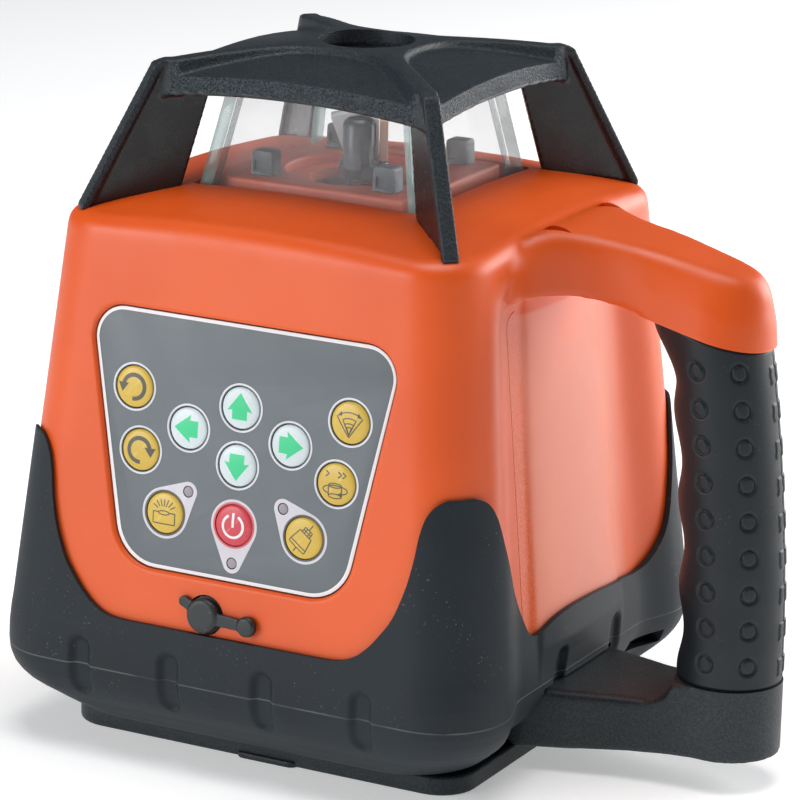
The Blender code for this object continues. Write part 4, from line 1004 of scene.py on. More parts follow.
def grip_relief(a, z):
    """How far the rubber stands out at an angle and height: dimples, seam and its ribs."""
    relief = np.zeros_like(a)
    for angle in (-97.0, -47.5, 47.5, 97.0):
        for k in range(9):
            r = np.hypot(arc_from(a, angle), z - (TOP_DIMPLE_Z - DIMPLE_PITCH * k))
            relief -= 0.55 * np.exp(-(((r - 2.35) / 0.42) ** 2))
    off = arc_from(a, SEAM_ANGLE) - 0.15 * np.sin(z * 2.3) - 0.12 * np.sin(z * 1.1 + 1.0)
    relief -= 0.6 * np.exp(-((off / 0.26) ** 2))
    beside = np.abs(off)
    band = smoothstep(0.6, 0.95, beside) * (1.0 - smoothstep(3.3, 3.7, beside))
    tooth = smoothstep(-0.1, 0.25, np.sin(2.0 * math.pi * (z - 2.0) / DIMPLE_PITCH))
    return relief + 0.34 * band * tooth


def grip_surface(shares, angles, shrink, fingers):
    """Points of the grip between its flat foot and its slanted top."""
    top = seam_z(float(handle_centre(np.array(GRIP_TOP_Z))))
    share, a = np.meshgrid(shares, angles, indexing="ij")
    level = GRIP_FOOT_Z + share * (top - GRIP_FOOT_Z)
    rx = np.full_like(a, GRIP_RADIUS_X - shrink)
    ry = np.full_like(a, GRIP_RADIUS_Y - shrink)
    if fingers:
        wave = 0.5 + 0.5 * np.cos(2.0 * math.pi * (level - 44.0) / 23.5)
        inward = np.maximum(0.0, -np.cos(a)) ** 1.5
        flare = 5.0 * (1.0 - smoothstep(4.0, 17.0, (1.0 - share) * (top - GRIP_FOOT_Z)))
        rx += (flare - 2.2 * wave) * inward
        z = GRIP_FOOT_Z + share * (seam_z(handle_centre(level) + rx * np.cos(a)) - GRIP_FOOT_Z)
        rim = 0.5 * smoothstep(0.0, 0.010, share) + 0.5 * smoothstep(0.0, 0.008, 1.0 - share) - 1.0
        relief = grip_relief(a, z) * smoothstep(0.01, 0.03, share) * smoothstep(0.01, 0.03, 1.0 - share)
        relief = relief - 0.35 + rim
        rx += relief
        ry += relief
    x = handle_centre(level) + rx * np.cos(a)
    z = GRIP_FOOT_Z + share * (seam_z(x) - GRIP_FOOT_Z)
    return np.stack([x, ry * np.sin(a), z], axis=-1)


def make_grip():
    around, up = 300, 420
    angles = np.linspace(0.0, 2.0 * math.pi, around, endpoint=False) - math.pi
    outer = grip_surface(np.linspace(0.0, 1.0, up), angles, 0.0, True)
    inner = grip_surface(np.linspace(1.0, 0.0, 12), angles, GRIP_RADIUS_X - CORE_RADIUS, False)
    rows = np.concatenate([outer, inner, outer[:1]])
    count = len(rows) - 1
    verts = rows[:-1].reshape(-1, 3)
    faces = []
    for i in range(count):
        nxt = (i + 1) % count
        for j in range(around):
            k = (j + 1) % around
            faces.append((i * around + j, i * around + k, nxt * around + k, nxt * around + j))
    mesh = bpy.data.meshes.new("grip")
    mesh.from_pydata(verts.tolist(), [], faces)
    finished(linked("grip", mesh), "grip_sleeve", RUBBER, "casing", ["handle_grip"], 50.0)


# ---------------------------------------------------------------- cage

def petal_share(x, y):
    """1 inside a petal, 0 on the ridges and at the middle ring."""
    across = np.minimum(np.abs(x), np.abs(y))
    ahead = np.maximum(np.abs(x), np.abs(y))
    from_arc = 43.2 - np.hypot(across, 59.2 - ahead)
    from_ridge = (ahead - across) / math.sqrt(2.0) - 2.6
    blend_by = np.clip(1.0 - np.abs(from_arc - from_ridge) / 3.0, 0.0, 1.0)
    return smoothstep(0.0, 1.6, np.minimum(from_arc, from_ridge) - 0.75 * blend_by ** 2)


def cage_top(x, y):
    out = np.maximum(np.abs(x), np.abs(y)) / CAGE_HALF
    across = np.minimum(np.abs(x), np.abs(y))
    dome = CAGE_TOP_Z - (CAGE_TOP_Z - CAGE_CORNER_Z) * out * out
    petal = 193.5 - 4.2 * out ** 2 - 2.4 * (across / 37.0) ** 2
    return dome + (petal - dome) * petal_share(x, y)


def rim_foot(across):
    """Height of the arched lower edge of the cage's rim."""
    return 181.0 + 3.0 * (1.0 - (across / CAGE_HALF) ** 2)


def cage_roof():
    """Solid roof down to the arched lower edge of its rim."""
    steps = 150
    t = np.linspace(-1.0, 1.0, steps + 1)
    x, y = np.meshgrid(t * CAGE_HALF, t * CAGE_HALF, indexing="ij")
    z = cage_top(x, y)
    bm = bmesh.new()
    grid = [[bm.verts.new(point) for point in row] for row in np.stack([x, y, z], axis=-1)]
    for i in range(steps):
        for j in range(steps):
            bm.faces.new((grid[i][j], grid[i + 1][j], grid[i + 1][j + 1], grid[i][j + 1]))
    edge = [grid[i][0] for i in range(steps)] + [grid[steps][j] for j in range(steps)]
    edge += [grid[i][steps] for i in range(steps, 0, -1)] + [grid[0][j] for j in range(steps, 0, -1)]
    low = []
    for vert in edge:
        px, py = vert.co.xy
        low.append(bm.verts.new((px * 1.02, py * 1.02, rim_foot(min(abs(px), abs(py))))))
    centre = bm.verts.new((0.0, 0.0, 183.0))
    for i in range(len(edge)):
        j = (i + 1) % len(edge)
        bm.faces.new((edge[i], edge[j], low[j], low[i]))
        bm.faces.new((low[i], low[j], centre))
    return bm


def make_cage():
    roof = temp(cage_roof())
    cut(roof, prism(rounded_box(CAGE_HALF - 3.2, CAGE_HALF - 3.2, 2.0), 170.0, CAGE_UNDER_Z))
    parts = [roof, temp(prism(circle(17.5), 182.6, 188.0))]
    for k in range(4):
        parts += [temp(moved(shape, matrix=spun(45.0 + 90.0 * k))) for shape in fin_shapes()]
    cage = melted(together(parts), 0.5, 3)
    cut(cage, prism(circle(CAGE_HOLE, 96), 183.8, 200.0))
    cut(cage, prism(circle(11.5, 96), 178.0, 186.0))
    cut(cage, turned([(13.0, 190.2), (14.1, 190.2), (14.1, 191.4), (13.0, 191.4)], 96, closed=True))
    for half_x, half_y in ((2.6, 0.22), (0.22, 2.6)):
        cut(cage, moved(prism(rounded_box(half_x, half_y, 0.2, 3), 180.0, 200.0), (25.0, 13.0, 10.2)))

    def pick(centre, normal):
        """0 on the roof and bars, 1 on the rim, 2 on the webs and under the rim."""
        x, y, z = centre
        out = np.maximum(np.abs(x), np.abs(y))
        across = np.minimum(np.abs(x), np.abs(y))
        far = np.hypot(x, y)
        lip = rim_foot(across) + 0.9
        rim = (out > CAGE_HALF - 1.2) & (np.abs(normal[2]) < 0.55) & (across < 38.0) & (z > 178.0)
        kind = np.zeros(len(x))
        kind[rim & (z > lip)] = 1
        diagonal = np.abs(np.abs(x) - np.abs(y)) / math.sqrt(2.0)
        web = (diagonal < WEB_HALF + 0.35) & (np.abs(normal[2]) < 0.5) & (far < 78.0) & (z < 186.0)
        bar_inner = 79.0 - (z - 150.6) * (79.0 - 58.9) / (188.6 - 150.6)
        kind[web & (far < bar_inner - 0.5)] = 2
        kind[rim & (z <= lip)] = 2
        return kind

    finished(cage, "cage_skin", [SPARK, RIM_SPARK, WEB], "casing", ["lighthouse_cage"],
             45.0, pick)


# ---------------------------------------------------------------- windows and deck

def glass_half(z):
    return GLASS_FOOT_HALF - GLASS_LEAN * (z - GLASS_FOOT_Z)


def make_windows():
    names = ("window_front", "window_right", "window_back", "window_left")
    for k, name in enumerate(names):
        rings = []
        for z in (GLASS_LOW_Z, GLASS_HIGH_Z):
            out = glass_half(z)
            inn = out - GLASS_THICKNESS
            rings.append([(0.05 - inn, -out, z), (out, -out, z), (out, -inn, z), (0.05 - inn, -inn, z)])
        pane = temp(moved(bevelled(loft(rings), 0.22, 2), matrix=spun(90.0 * k)))
        facing = spun(90.0 * k) @ Vector((0.0, -1.0, GLASS_LEAN)).normalized()

        def pick(centre, normal, facing=facing):
            """0 on the two broad faces, 1 on the edges."""
            along = np.abs(normal[0] * facing.x + normal[1] * facing.y + normal[2] * facing.z)
            return (along < 0.9).astype(float)

        finished(pane, f"{name}_pane", [GLASS, GLASS_EDGE], "casing", [name], 30.0, pick)


def make_deck():
    deck = temp(soft_box(28.7, 28.7, 1.8, 142.0, DECK_Z, 1.0))
    add(deck, soft_box(38.0, 38.0, 3.0, 142.0, 144.7, 0.3))
    cut(deck, prism(rounded_box(26.5, 26.5, 1.5), 135.0, 152.5))
    cut(deck, lipped_ring(21.8, 0.8, DECK_Z, 2.5))
    cut(deck, prism(circle(15.5), 140.0, 170.0))
    finished(deck, "deck_skin", ORANGE, "casing", ["window_deck"], 30.0)
    outline = [(-3.5, 0.0), (3.5, 0.0), (3.2, 6.3), (2.6, 6.9), (-2.6, 6.9), (-3.2, 6.3)]
    names = {(-1, -1): "front_left", (1, -1): "front_right", (1, 1): "back_right", (-1, 1): "back_left"}
    for (sx, sy), name in names.items():
        clip = temp(moved(bevelled(prism(outline, -2.6, 2.6), 0.3, 3), matrix=UPRIGHT))
        cut(clip, box((-2.4, -3.4, 1.4), (0.2, -1.7, 4.2)))
        cut(clip, box((-2.4, 1.7, 1.4), (0.2, 3.4, 4.2)))
        clip.data.transform(Matrix.Translation((sx * (CLIP_OFFSET - 2.4), sy * CLIP_OFFSET, DECK_Z + 0.2)))
        finished(clip, f"clip_{name}", GREY, "casing", [f"deck_clip_{name}"], 30.0)


def lipped_ring(radius, lip, top, depth):
    """A round cutter with a rounded lip at the surface above it."""
    profile = [(0.0, top - depth), (radius, top - depth)]
    profile += [(radius + out, top + up) for out, up in lip_profile(lip)]
    profile += [(radius + lip + 0.6, top + 0.5), (radius + lip + 0.6, top + 6.0), (0.0, top + 6.0)]
    return turned(profile, 96)


# ---------------------------------------------------------------- keypad

KEYS = {
    "key_turn_left": ((-33.5, 8.96), YELLOW, "key_yellow"),
    "key_turn_right": ((-30.5, -8.24), YELLOW, "key_yellow"),
    "key_left": ((-15.84, 0.0), KEY_WHITE, "key_white"),
    "key_up": ((0.0, 7.95), KEY_WHITE, "key_white"),
    "key_down": ((0.0, -7.95), KEY_WHITE, "key_white"),
    "key_right": ((15.84, 0.0), KEY_WHITE, "key_white"),
    "key_scan": ((33.5, 8.96), YELLOW, "key_yellow"),
    "key_speed": ((30.5, -8.24), YELLOW, "key_yellow"),
    "key_vertical": ((-21.7, -24.5), YELLOW, "key_yellow"),
    "key_power": ((0.0, -24.5), RED, "key_red"),
    "key_tilt": ((21.7, -24.5), YELLOW, "key_yellow"),
}
LEDS = {"led_vertical": (-14.8, -17.5), "led_tilt": (14.8, -17.5), "led_power": (0.0, -35.1)}
TEARDROPS = {"key_vertical": "led_vertical", "key_tilt": "led_tilt", "key_power": "led_power"}
DOME_TOP = 0.75
HOLE_RADIUS = KEY_RADIUS + 0.25
LED_HOLE_RADIUS = LED_RADIUS + 0.2
PRINT_DEPTH = 0.25


def dome(r):
    """Height of a key's face at a distance from its middle."""
    return DOME_TOP - 0.30 * (r / 4.6) ** 2


def printed_row(bm, points, sink=0.0):
    """Vertices that lie just over a key's face, or sunk into it."""
    return [bm.verts.new((p.x, p.y, dome(p.length) + 0.03 - sink)) for p in points]


def stroke(bm, points, width, closed=False):
    """A printed line, laid on a key's face as a thin raised strip."""
    fine = []
    ends = points[1:] + points[:1] if closed else points[1:]
    for a, b in zip(points, ends):
        steps = max(1, int((Vector(b) - Vector(a)).length / 0.45))
        fine += [Vector(a).lerp(Vector(b), k / steps) for k in range(steps)]
    if not closed:
        fine.append(Vector(points[-1]))
    rows = []
    for i, p in enumerate(fine):
        ahead = fine[(i + 1) % len(fine)] if closed or i + 1 < len(fine) else p
        behind = fine[i - 1] if closed or i else p
        run = (ahead - behind).normalized()
        side = Vector((-run.y, run.x)) * width / 2.0
        top = [p + side, p - side]
        rows.append(printed_row(bm, top) + printed_row(bm, top[::-1], PRINT_DEPTH))
    if closed:
        rows.append(rows[0])
    skin(bm, rows)
    if not closed:
        bm.faces.new(rows[0][::-1])
        bm.faces.new(rows[-1])


def filled(bm, outline, centre, rings=6):
    """A printed patch on a key's face, star-shaped about its centre."""
    fine = []
    for a, b in zip(outline, outline[1:] + outline[:1]):
        steps = max(1, int((Vector(b) - Vector(a)).length / 0.5))
        fine += [Vector(a).lerp(Vector(b), k / steps) for k in range(steps)]
    middle = Vector(centre)
    rows = [printed_row(bm, [middle.lerp(p, k / rings) for p in fine]) for k in range(1, rings + 1)]
    hub = printed_row(bm, [middle])[0]
    for i in range(len(fine)):
        bm.faces.new((hub, rows[0][i], rows[0][(i + 1) % len(fine)]))
    skirt = printed_row(bm, fine, PRINT_DEPTH)
    skin(bm, rows + [skirt])
    bm.faces.new(skirt[::-1])


def ellipse(centre, half_x, half_y, start, end, steps):
    angles = np.linspace(math.radians(start), math.radians(end), steps)
    return [(centre[0] + half_x * math.cos(a), centre[1] + half_y * math.sin(a)) for a in angles]


def turn_arrow(bm, mirror):
    """A three-quarter circle with an arrowhead that points down."""
    sweep = [(mirror * x, y) for x, y in arc((0.1, 0.0), 3.3, -96.0, 172.0, 44)]
    stroke(bm, sweep, 1.15)
    head = [(mirror * x, y) for x, y in ((-4.9, 0.9), (-1.5, 0.9), (-3.5, -1.7))]
    filled(bm, head if mirror > 0 else head[::-1], (-3.3 * mirror, 0.1))


def straight_arrow(bm, degrees):
    """The stubby arrow of a direction key, up at 0 degrees."""
    outline = [(0.0, 4.2), (-3.9, -0.9), (-2.3, -0.6), (-2.3, -3.2), (2.3, -3.2), (2.3, -0.6), (3.9, -0.9)]
    turn = Matrix.Rotation(math.radians(degrees), 2)
    filled(bm, [tuple(turn @ Vector(p)) for p in outline], tuple(turn @ Vector((0.0, 0.2))))


def icon_scan(bm):
    """A fan of light with a double arrow over it."""
    for x in (-3.9, 3.9):
        stroke(bm, [(0.0, -4.0), (x, 1.5)], 0.32)
    for reach, open_by in ((2.2, 24.0), (3.2, 30.0), (4.6, 32.0)):
        sector = [(0.0, -3.4)] + arc((0.0, -3.4), reach, 90.0 + open_by * 0.8, 90.0 - open_by * 0.8, 8)
        stroke(bm, sector, 0.30, closed=True)
    stroke(bm, arc((0.0, -3.4), 6.2, 122.0, 58.0, 14), 0.28)
    for side in (-1, 1):
        tip = [(side * 3.75, 1.55), (side * 2.5, 2.95), (side * 2.3, 1.75)]
        filled(bm, tip if side < 0 else tip[::-1], (side * 2.85, 2.05), rings=2)


def icon_speed(bm):
    """A drum with an orbit arrow, and slow and fast chevrons over it."""
    for x in (-2.0, 2.0):
        stroke(bm, [(x, -0.3), (x, -3.2)], 0.32)
    for y in (-0.3, -3.2):
        stroke(bm, ellipse((0.0, y), 2.0, 0.6, 0.0, 360.0, 25)[:-1], 0.30, closed=True)
    stroke(bm, ellipse((0.0, -1.5), 3.7, 1.25, -60.0, 235.0, 34), 0.32)
    filled(bm, [(0.5, -2.7), (2.1, -1.9), (2.1, -3.3)][::-1], (1.7, -2.65), rings=2)
    for x in (-2.6, 1.2, 2.5):
        stroke(bm, [(x - 0.5, 3.5), (x + 0.5, 2.7), (x - 0.5, 1.9)], 0.36)


def icon_vertical(bm):
    """A levelling vial in its box, with rays over it."""
    stroke(bm, [(-3.4, 0.2), (-3.4, -3.0), (3.4, -3.0), (3.4, 0.2)], 0.32)
    stroke(bm, [(-3.4, 0.2), (-1.6, 0.2)], 0.32)
    stroke(bm, [(1.6, 0.2), (3.4, 0.2)], 0.32)
    stroke(bm, ellipse((0.0, 0.1), 1.7, 0.55, 0.0, 360.0, 21)[:-1], 0.30, closed=True)
    for degrees, near, far in ((150, 2.2, 3.9), (128, 2.2, 4.1), (108, 2.0, 4.0), (90, 2.0, 3.9),
                               (72, 2.0, 4.0), (52, 2.2, 4.1), (30, 2.2, 3.9)):
        a = math.radians(degrees)
        run = [(r * math.cos(a), 0.5 + (r - 0.6) * math.sin(a)) for r in (near, far)]
        stroke(bm, run, 0.32)


def icon_tilt(bm):
    """The outline of a level, leaning over on its axis line."""
    turn = Matrix.Rotation(math.radians(-36.0), 2)

    def laid(points):
        return [tuple(turn @ Vector(p) * 1.12) for p in points]

    stroke(bm, laid([(-2.5, -2.9), (2.5, -2.9), (2.5, -2.0), (-2.5, -2.0)]), 0.32, closed=True)
    stroke(bm, laid([(-2.5, -2.0), (-1.9, 1.3), (1.9, 1.3), (2.5, -2.0)]), 0.32)
    stroke(bm, laid([(-1.2, 1.3), (-1.2, 2.7), (1.2, 2.7), (1.2, 1.3)]), 0.32)
    for x in (-0.5, 0.5):
        stroke(bm, laid([(x, 1.3), (x, 2.7)]), 0.28)
    for low, high in ((-4.3, -3.0), (2.8, 4.3)):
        stroke(bm, laid([(0.0, low), (0.0, high)]), 0.32)
    stroke(bm, laid([(-1.2, 2.0), (1.2, 2.0)]), 0.28)


def icon_power(bm):
    stroke(bm, arc((0.0, -0.2), 3.1, 118.0, 422.0, 44), 0.72)
    stroke(bm, [(0.0, -0.5), (0.0, 3.5)], 0.72)


ICONS = {
    "key_turn_left": (lambda bm: turn_arrow(bm, 1), INK),
    "key_turn_right": (lambda bm: turn_arrow(bm, -1), INK),
    "key_left": (lambda bm: straight_arrow(bm, 90.0), GREEN),
    "key_up": (lambda bm: straight_arrow(bm, 0.0), GREEN),
    "key_down": (lambda bm: straight_arrow(bm, 180.0), GREEN),
    "key_right": (lambda bm: straight_arrow(bm, -90.0), GREEN),
    "key_scan": (icon_scan, INK),
    "key_speed": (icon_speed, INK),
    "key_vertical": (icon_vertical, INK),
    "key_power": (icon_power, PRINT_WHITE),
    "key_tilt": (icon_tilt, INK),
}


def ring_print(inner, outer, low, high, steps=72):
    return turned([(inner, low), (outer, low), (outer, high), (inner, high)], steps, closed=True)


def teardrop(big, small, centre, tip, steps=28):
    """Outline round a key at the origin that narrows to its lamp."""
    run = Vector(tip) - Vector(centre)
    heading = math.degrees(math.atan2(run.y, run.x))
    lean = math.degrees(math.acos((big - small) / run.length))
    round_key = arc((0.0, 0.0), big, heading + lean, heading + 360.0 - lean, steps)
    round_lamp = arc(tuple(run), small, heading - lean, heading + lean, steps // 2)
    return round_key + round_lamp


def on_front(obj, name, material, body, replaces=(), sharp=30.0):
    """Finishes a shape that was made flat, in the front wall's leaning frame."""
    obj.data.transform(FRONT)
    finished(obj, name, material, body, replaces, sharp)


def hole_at(place, radius, steps=64):
    return moved(prism(circle(radius, steps), -10.0, 5.0), (*place, 0.0))


def make_panel(face):
    panel = temp(soft_plate(lambda inset: panel_outline(-inset), face - PANEL_THICKNESS, face, 0.25))
    add(panel, prism(panel_outline(3.0), face - PANEL_THICKNESS + 0.05, -3.1))
    for key in KEYS.values():
        cut(panel, hole_at(key[0], HOLE_RADIUS))
    for place in LEDS.values():
        cut(panel, hole_at(place, LED_HOLE_RADIUS, 40))
    on_front(panel, "keypad_overlay", OVERLAY, "casing", ["keypad_panel"])
    border = temp(soft_plate(lambda inset: panel_outline(-0.12 - inset), face - 0.1, face + 0.16, 0.12, 2))
    cut(border, prism(panel_outline(-1.10), face - 2.0, face + 2.0))
    on_front(border, "keypad_border", PRINT_WHITE, "casing")


def make_key(name, place, material, slot, face):
    """A key's cap and mark, and what is printed round it on the panel."""
    at_key = (*place, 0.0)
    if name in TEARDROPS:
        tip = LEDS[TEARDROPS[name]]
        plate = temp(moved(prism(teardrop(7.15, 2.75, place, tip), face - 0.1, face + 0.07), at_key))
        cut(plate, hole_at(place, HOLE_RADIUS, 72))
        cut(plate, hole_at(tip, LED_HOLE_RADIUS, 40))
        on_front(plate, f"{name}_plate", LILAC, "casing")
        rim = ring_print(HOLE_RADIUS - 0.12, HOLE_RADIUS + 0.40, face - 0.05, face + 0.14)
        rim_colour, rim_slot = RED if name == "key_power" else INK, slot
    else:
        rim = ring_print(6.22, 6.74, face - 0.05, face + 0.10)
        rim_colour, rim_slot = RING_WHITE, "key_white"
    on_front(temp(moved(rim, at_key)), f"{name}_rim", rim_colour, "casing")
    profile = [(0.0, dome(0.0))] + [(r, dome(r)) for r in np.linspace(0.5, 4.6, 9)]
    profile += [(5.0, 0.36), (5.35, 0.22), (5.6, 0.02), (KEY_RADIUS, -0.25), (KEY_RADIUS, -2.6), (0.0, -2.6)]
    key = temp(moved(turned(profile, 72), (*place, face)))
    on_front(key, f"{name}_cap", material, name, [name], 40.0)
    draw, ink = ICONS[name]
    bm = bmesh.new()
    draw(bm)
    on_front(temp(moved(bm, (*place, face))), f"{name}_mark", ink, name, (), 50.0)


def make_keypad():
    face = -PANEL_DEPTH
    make_panel(face)
    for name, (place, material, slot) in KEYS.items():
        make_key(name, place, material, slot, face)
    profile = [(0.0, 0.16), (0.6, 0.15), (1.1, 0.10), (1.35, 0.0), (LED_RADIUS, -0.2), (LED_RADIUS, -4.3),
               (0.0, -4.3)]
    for name, place in LEDS.items():
        lamp = temp(moved(turned(profile, 40), (*place, face)))
        on_front(lamp, f"{name}_dome", LENS, "casing", [name], 40.0)


def make_plug():
    """The rubber plug of the charging jack, its strap and its pull tab."""
    hinge = Vector((-7.0, 3.5))
    run = hinge.normalized()
    side = Vector((-run.y, run.x)) * 1.6
    cap = turned([(0.0, 2.5), (3.6, 2.5), (4.4, 2.25), (4.85, 1.7), (4.85, 0.7), (4.5, 0.35), (0.0, 0.35)])
    anchor = hinge - run * 0.9
    strap = prism([anchor - side * 0.9, -side, side, anchor + side * 0.9], 0.4, 1.7)
    knuckle = prism(circle(1.5, 32, tuple(anchor)), 0.4, 1.7)
    tab = prism([(0.0, -1.9), (13.4, -2.3), (13.4, 0.9), (0.0, 1.6)], 0.45, 1.9)
    end = turned([(0.0, 2.7), (2.2, 2.6), (2.8, 2.1), (2.9, 0.9), (2.5, 0.4), (0.0, 0.4)], 48)
    shapes = [temp(cap), temp(strap), temp(knuckle), temp(tab), temp(moved(end, (13.8, -0.7, 0.0)))]
    plug = melted(together(shapes), 0.22, 3)
    bung = [(0.0, 1.0), (2.2, 1.0), (2.2, -2.0), (1.7, -2.4), (0.0, -2.4)]
    add(plug, turned(bung, 48))
    plug.data.transform(JACK)
    finished(plug, "jack_plug_rubber", PLUG_RUBBER, "jack_plug", ["jack_plug"], 40.0)


def make_door():
    half = DOOR_THICKNESS / 2.0
    plate = soft_box(DOOR_HALF_U - half / 2.0, DOOR_HALF_V, 2.0, -half, half, 0.7, 6)
    door = temp(moved(plate, (half / 2.0, 0.0, -half)))
    barrel = prism(circle(half, 40), 1.0 - DOOR_HALF_V, DOOR_HALF_V - 1.0)
    add(door, moved(barrel, (half - DOOR_HALF_U, 0.0, -half), spun(-90.0, "X")))
    for k in range(6):
        cut(door, moved(prism(rounded_box(0.55, 15.5, 0.5, 4), -0.7, 2.0), (16.0 - 3.2 * k, 0.0, 0.0)))
    cut(door, moved(prism(circle(2.4), -6.0, 6.0), (LATCH_U, 0.0, 0.0)))
    dish = turned([(0.0, -0.6), (7.6, -0.6), (8.4, 0.3), (0.0, 0.3)], 72)
    cut(door, moved(dish, (LATCH_U, 0.0, 0.0)))
    door.data.transform(BACK)
    finished(door, "battery_door_skin", ORANGE, "battery_door", ["battery_door"], 30.0)


make_housing()
make_boot()
make_chassis()
make_base()
make_grip()
make_cage()
make_windows()
make_deck()
make_keypad()
make_plug()
make_door()


# ---------------------------------------------------------------- rotor and inner pieces

def make_head():
    facing = spun(HEAD_TURN)
    hub = [(0.0, 160.5), (6.2, 160.5), (6.7, 160.3), (7.0, 159.8), (7.0, 156.3), (6.7, 156.0), (0.0, 156.0)]
    column = [(0.0, 173.4), (2.2, 173.3), (3.4, 172.9), (4.2, 172.2), (4.7, 171.2), (4.7, 159.0),
              (0.0, 159.0)]
    head = temp(turned(hub))
    add(head, moved(moved(turned(column), (-1.4, -2.3, 0.0)), matrix=facing))
    opening = moved(prism(rounded_box(1.5, 2.4, 1.2, 6), 6.6, 9.0), (0.0, 168.6, 0.0))
    cut(head, moved(opening, matrix=facing @ UPRIGHT))
    finished(head, "rotor_head_skin", HEAD_GREY, "rotor", ["rotor_head"], 35.0)
    outline = [(-5.4, 160.9), (4.1, 160.9), (4.1, 171.4), (-2.5, 173.6), (-9.6, 172.0)]
    glass = moved(bevelled(prism(outline, -9.6, -2.8), 0.25, 2), matrix=UPRIGHT)
    clip = bevelled(box((4.2, -3.4, 160.9), (6.6, 2.6, 172.4)), 0.25, 2)
    finished(temp(moved(clip, matrix=facing)), "prism_clip", PEACH, "rotor", (), 30.0)
    finished(temp(moved(glass, matrix=facing)), "pentaprism_glass", PRISM_FACE, "rotor",
             ["pentaprism"], 30.0)


def make_latch():
    """The battery door's turn latch: knob with a coin bar, stem and cam."""
    half = DOOR_THICKNESS / 2.0
    knob = [(0.0, 3.4), (6.0, 3.4), (6.6, 3.2), (7.0, 2.7), (7.0, half + 0.4), (2.0, half + 0.4),
            (2.0, -half - 0.6), (3.0, -half - 0.6), (3.0, -half - 2.4), (0.0, -half - 2.4)]
    latch = temp(turned(knob, 72))
    add(latch, soft_plate(lambda inset: rounded_box(6.0 - inset, 1.2 - inset * 0.8, 1.1 - inset * 0.8, 6),
                          3.0, 5.0, 0.5))
    add(latch, moved(prism(rounded_box(5.4, 1.8, 1.0, 5), -half - 2.35, -half - 0.65), (3.6, 0.0, 0.0)))
    for place in circle(7.1, 24):
        cut(latch, moved(prism(circle(0.35, 10), half + 0.9, 5.0), (*place, 0.0)))
    latch.data.transform(BACK @ Matrix.Translation((LATCH_U, 0.0, -half)))
    finished(latch, "door_latch_knob", BLACK, "door_latch", ["door_latch"], 35.0)


INNER_FINISH = {
    "handle_core": BLACK, "charging_jack": BLACK, "tripod_thread_insert": BRASS, "window_gasket": RUBBER,
    "plumb_beam_window": GLASS, "keypad_board": BOARD, "main_board": BOARD, "battery_pack": WRAP,
    "gimbal_frame": ALUMINIUM, "gimbal_ring": ALUMINIUM, "tilt_platform": ALUMINIUM,
    "upper_bearing": STEEL, "lower_bearing": STEEL, "laser_barrel": BRASS, "head_motor": STEEL,
    "spindle": STEEL, "spindle_pulley": BLACK, "motor_pulley": BLACK, "drive_belt": RUBBER,
    "roll_lift_motor": STEEL, "roll_lift_screw": STEEL, "roll_lift_nut": BRASS,
    "pitch_lift_motor": STEEL, "pitch_lift_screw": STEEL, "pitch_lift_nut": BRASS,
}


def finish_inner_nodes():
    for name, material in INNER_FINISH.items():
        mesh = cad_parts[name].data
        mesh.materials.clear()
        mesh.materials.append(material)


make_head()
make_latch()
finish_inner_nodes()


# ---------------------------------------------------------------- studio

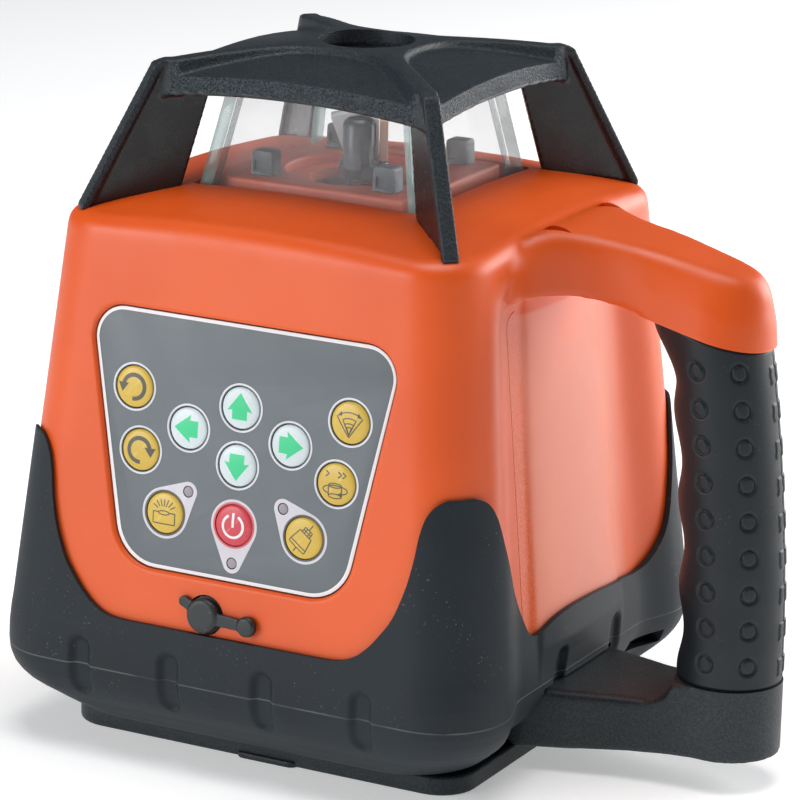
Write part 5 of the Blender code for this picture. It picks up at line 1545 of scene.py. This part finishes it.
def make_floor():
    floor = temp(prism(rounded_box(8.0, 8.0, 1.0), -0.02, 0.0))
    material, tree, shader, place = base("floor_paper")
    mottle = noise(tree, place, 6.0, 3.0, 0.5)
    tint = blend(tree, mottle, (0.94, 0.94, 0.94), (0.96, 0.96, 0.96))
    tree.links.new(tint, shader.inputs["Base Color"])
    shader.inputs["Roughness"].default_value = 0.85
    shader.inputs["Specular IOR Level"].default_value = 0.2
    shader.inputs["Emission Color"].default_value = (1.0, 1.0, 1.0, 1.0)
    shader.inputs["Emission Strength"].default_value = 0.34
    floor.data.materials.append(material)
    floor.name = "floor"


def make_camera():
    """The photograph's angle: azimuth, elevation and a slight roll about an aim point."""
    azimuth, elevation, roll = (math.radians(a) for a in (27.617, 15.641, 1.37))
    aim = AXIS + Vector((11.376, 3.364, 91.813)) * MM
    distance = 1.20394
    back = Vector((math.sin(azimuth) * math.cos(elevation), -math.cos(azimuth) * math.cos(elevation),
                   math.sin(elevation)))
    level = Vector((math.cos(azimuth), math.sin(azimuth), 0.0))
    above = back.cross(level)
    right = level * math.cos(roll) + above * math.sin(roll)
    up = back.cross(right)
    data = bpy.data.cameras.new("camera")
    data.lens = 191.42
    data.sensor_width = 36.0
    data.clip_start, data.clip_end = 0.05, 50.0
    camera = linked("camera", data)
    place = aim + back * distance
    camera.matrix_world = Matrix(((right.x, up.x, back.x, place.x), (right.y, up.y, back.y, place.y),
                                  (right.z, up.z, back.z, place.z), (0.0, 0.0, 0.0, 1.0)))
    bpy.context.scene.camera = camera


def add_softbox(name, place, target, size, power):
    light = bpy.data.lights.new(name, "AREA")
    light.shape = "RECTANGLE"
    light.size, light.size_y = size
    light.energy = power
    obj = linked(name, light)
    obj.location = place
    obj.rotation_euler = (Vector(target) - Vector(place)).to_track_quat("-Z", "Y").to_euler()


def make_light():
    middle = (0.0, 0.0, 0.09)
    add_softbox("front_left_box", (-0.95, -1.35, 0.55), middle, (1.0, 0.9), 15.0)
    add_softbox("right_back_box", (0.70, 1.08, 0.42), (0.20, 0.30, 0.03), (1.2, 0.7), 17.0)
    add_softbox("top_box", (0.1, -0.1, 1.5), middle, (0.9, 0.9), 12.5)
    world = bpy.data.worlds.new("studio")
    bpy.context.scene.world = world
    world.use_nodes = True
    tree = world.node_tree
    background = tree.nodes["Background"]
    seen = add_node(tree, "ShaderNodeLightPath").outputs["Is Camera Ray"]
    tree.links.new(blend(tree, seen, (0.12, 0.127, 0.137), (1.0, 1.0, 1.0)), background.inputs["Color"])
    bpy.context.scene.view_settings.view_transform = "Standard"


make_floor()
make_camera()
make_light()
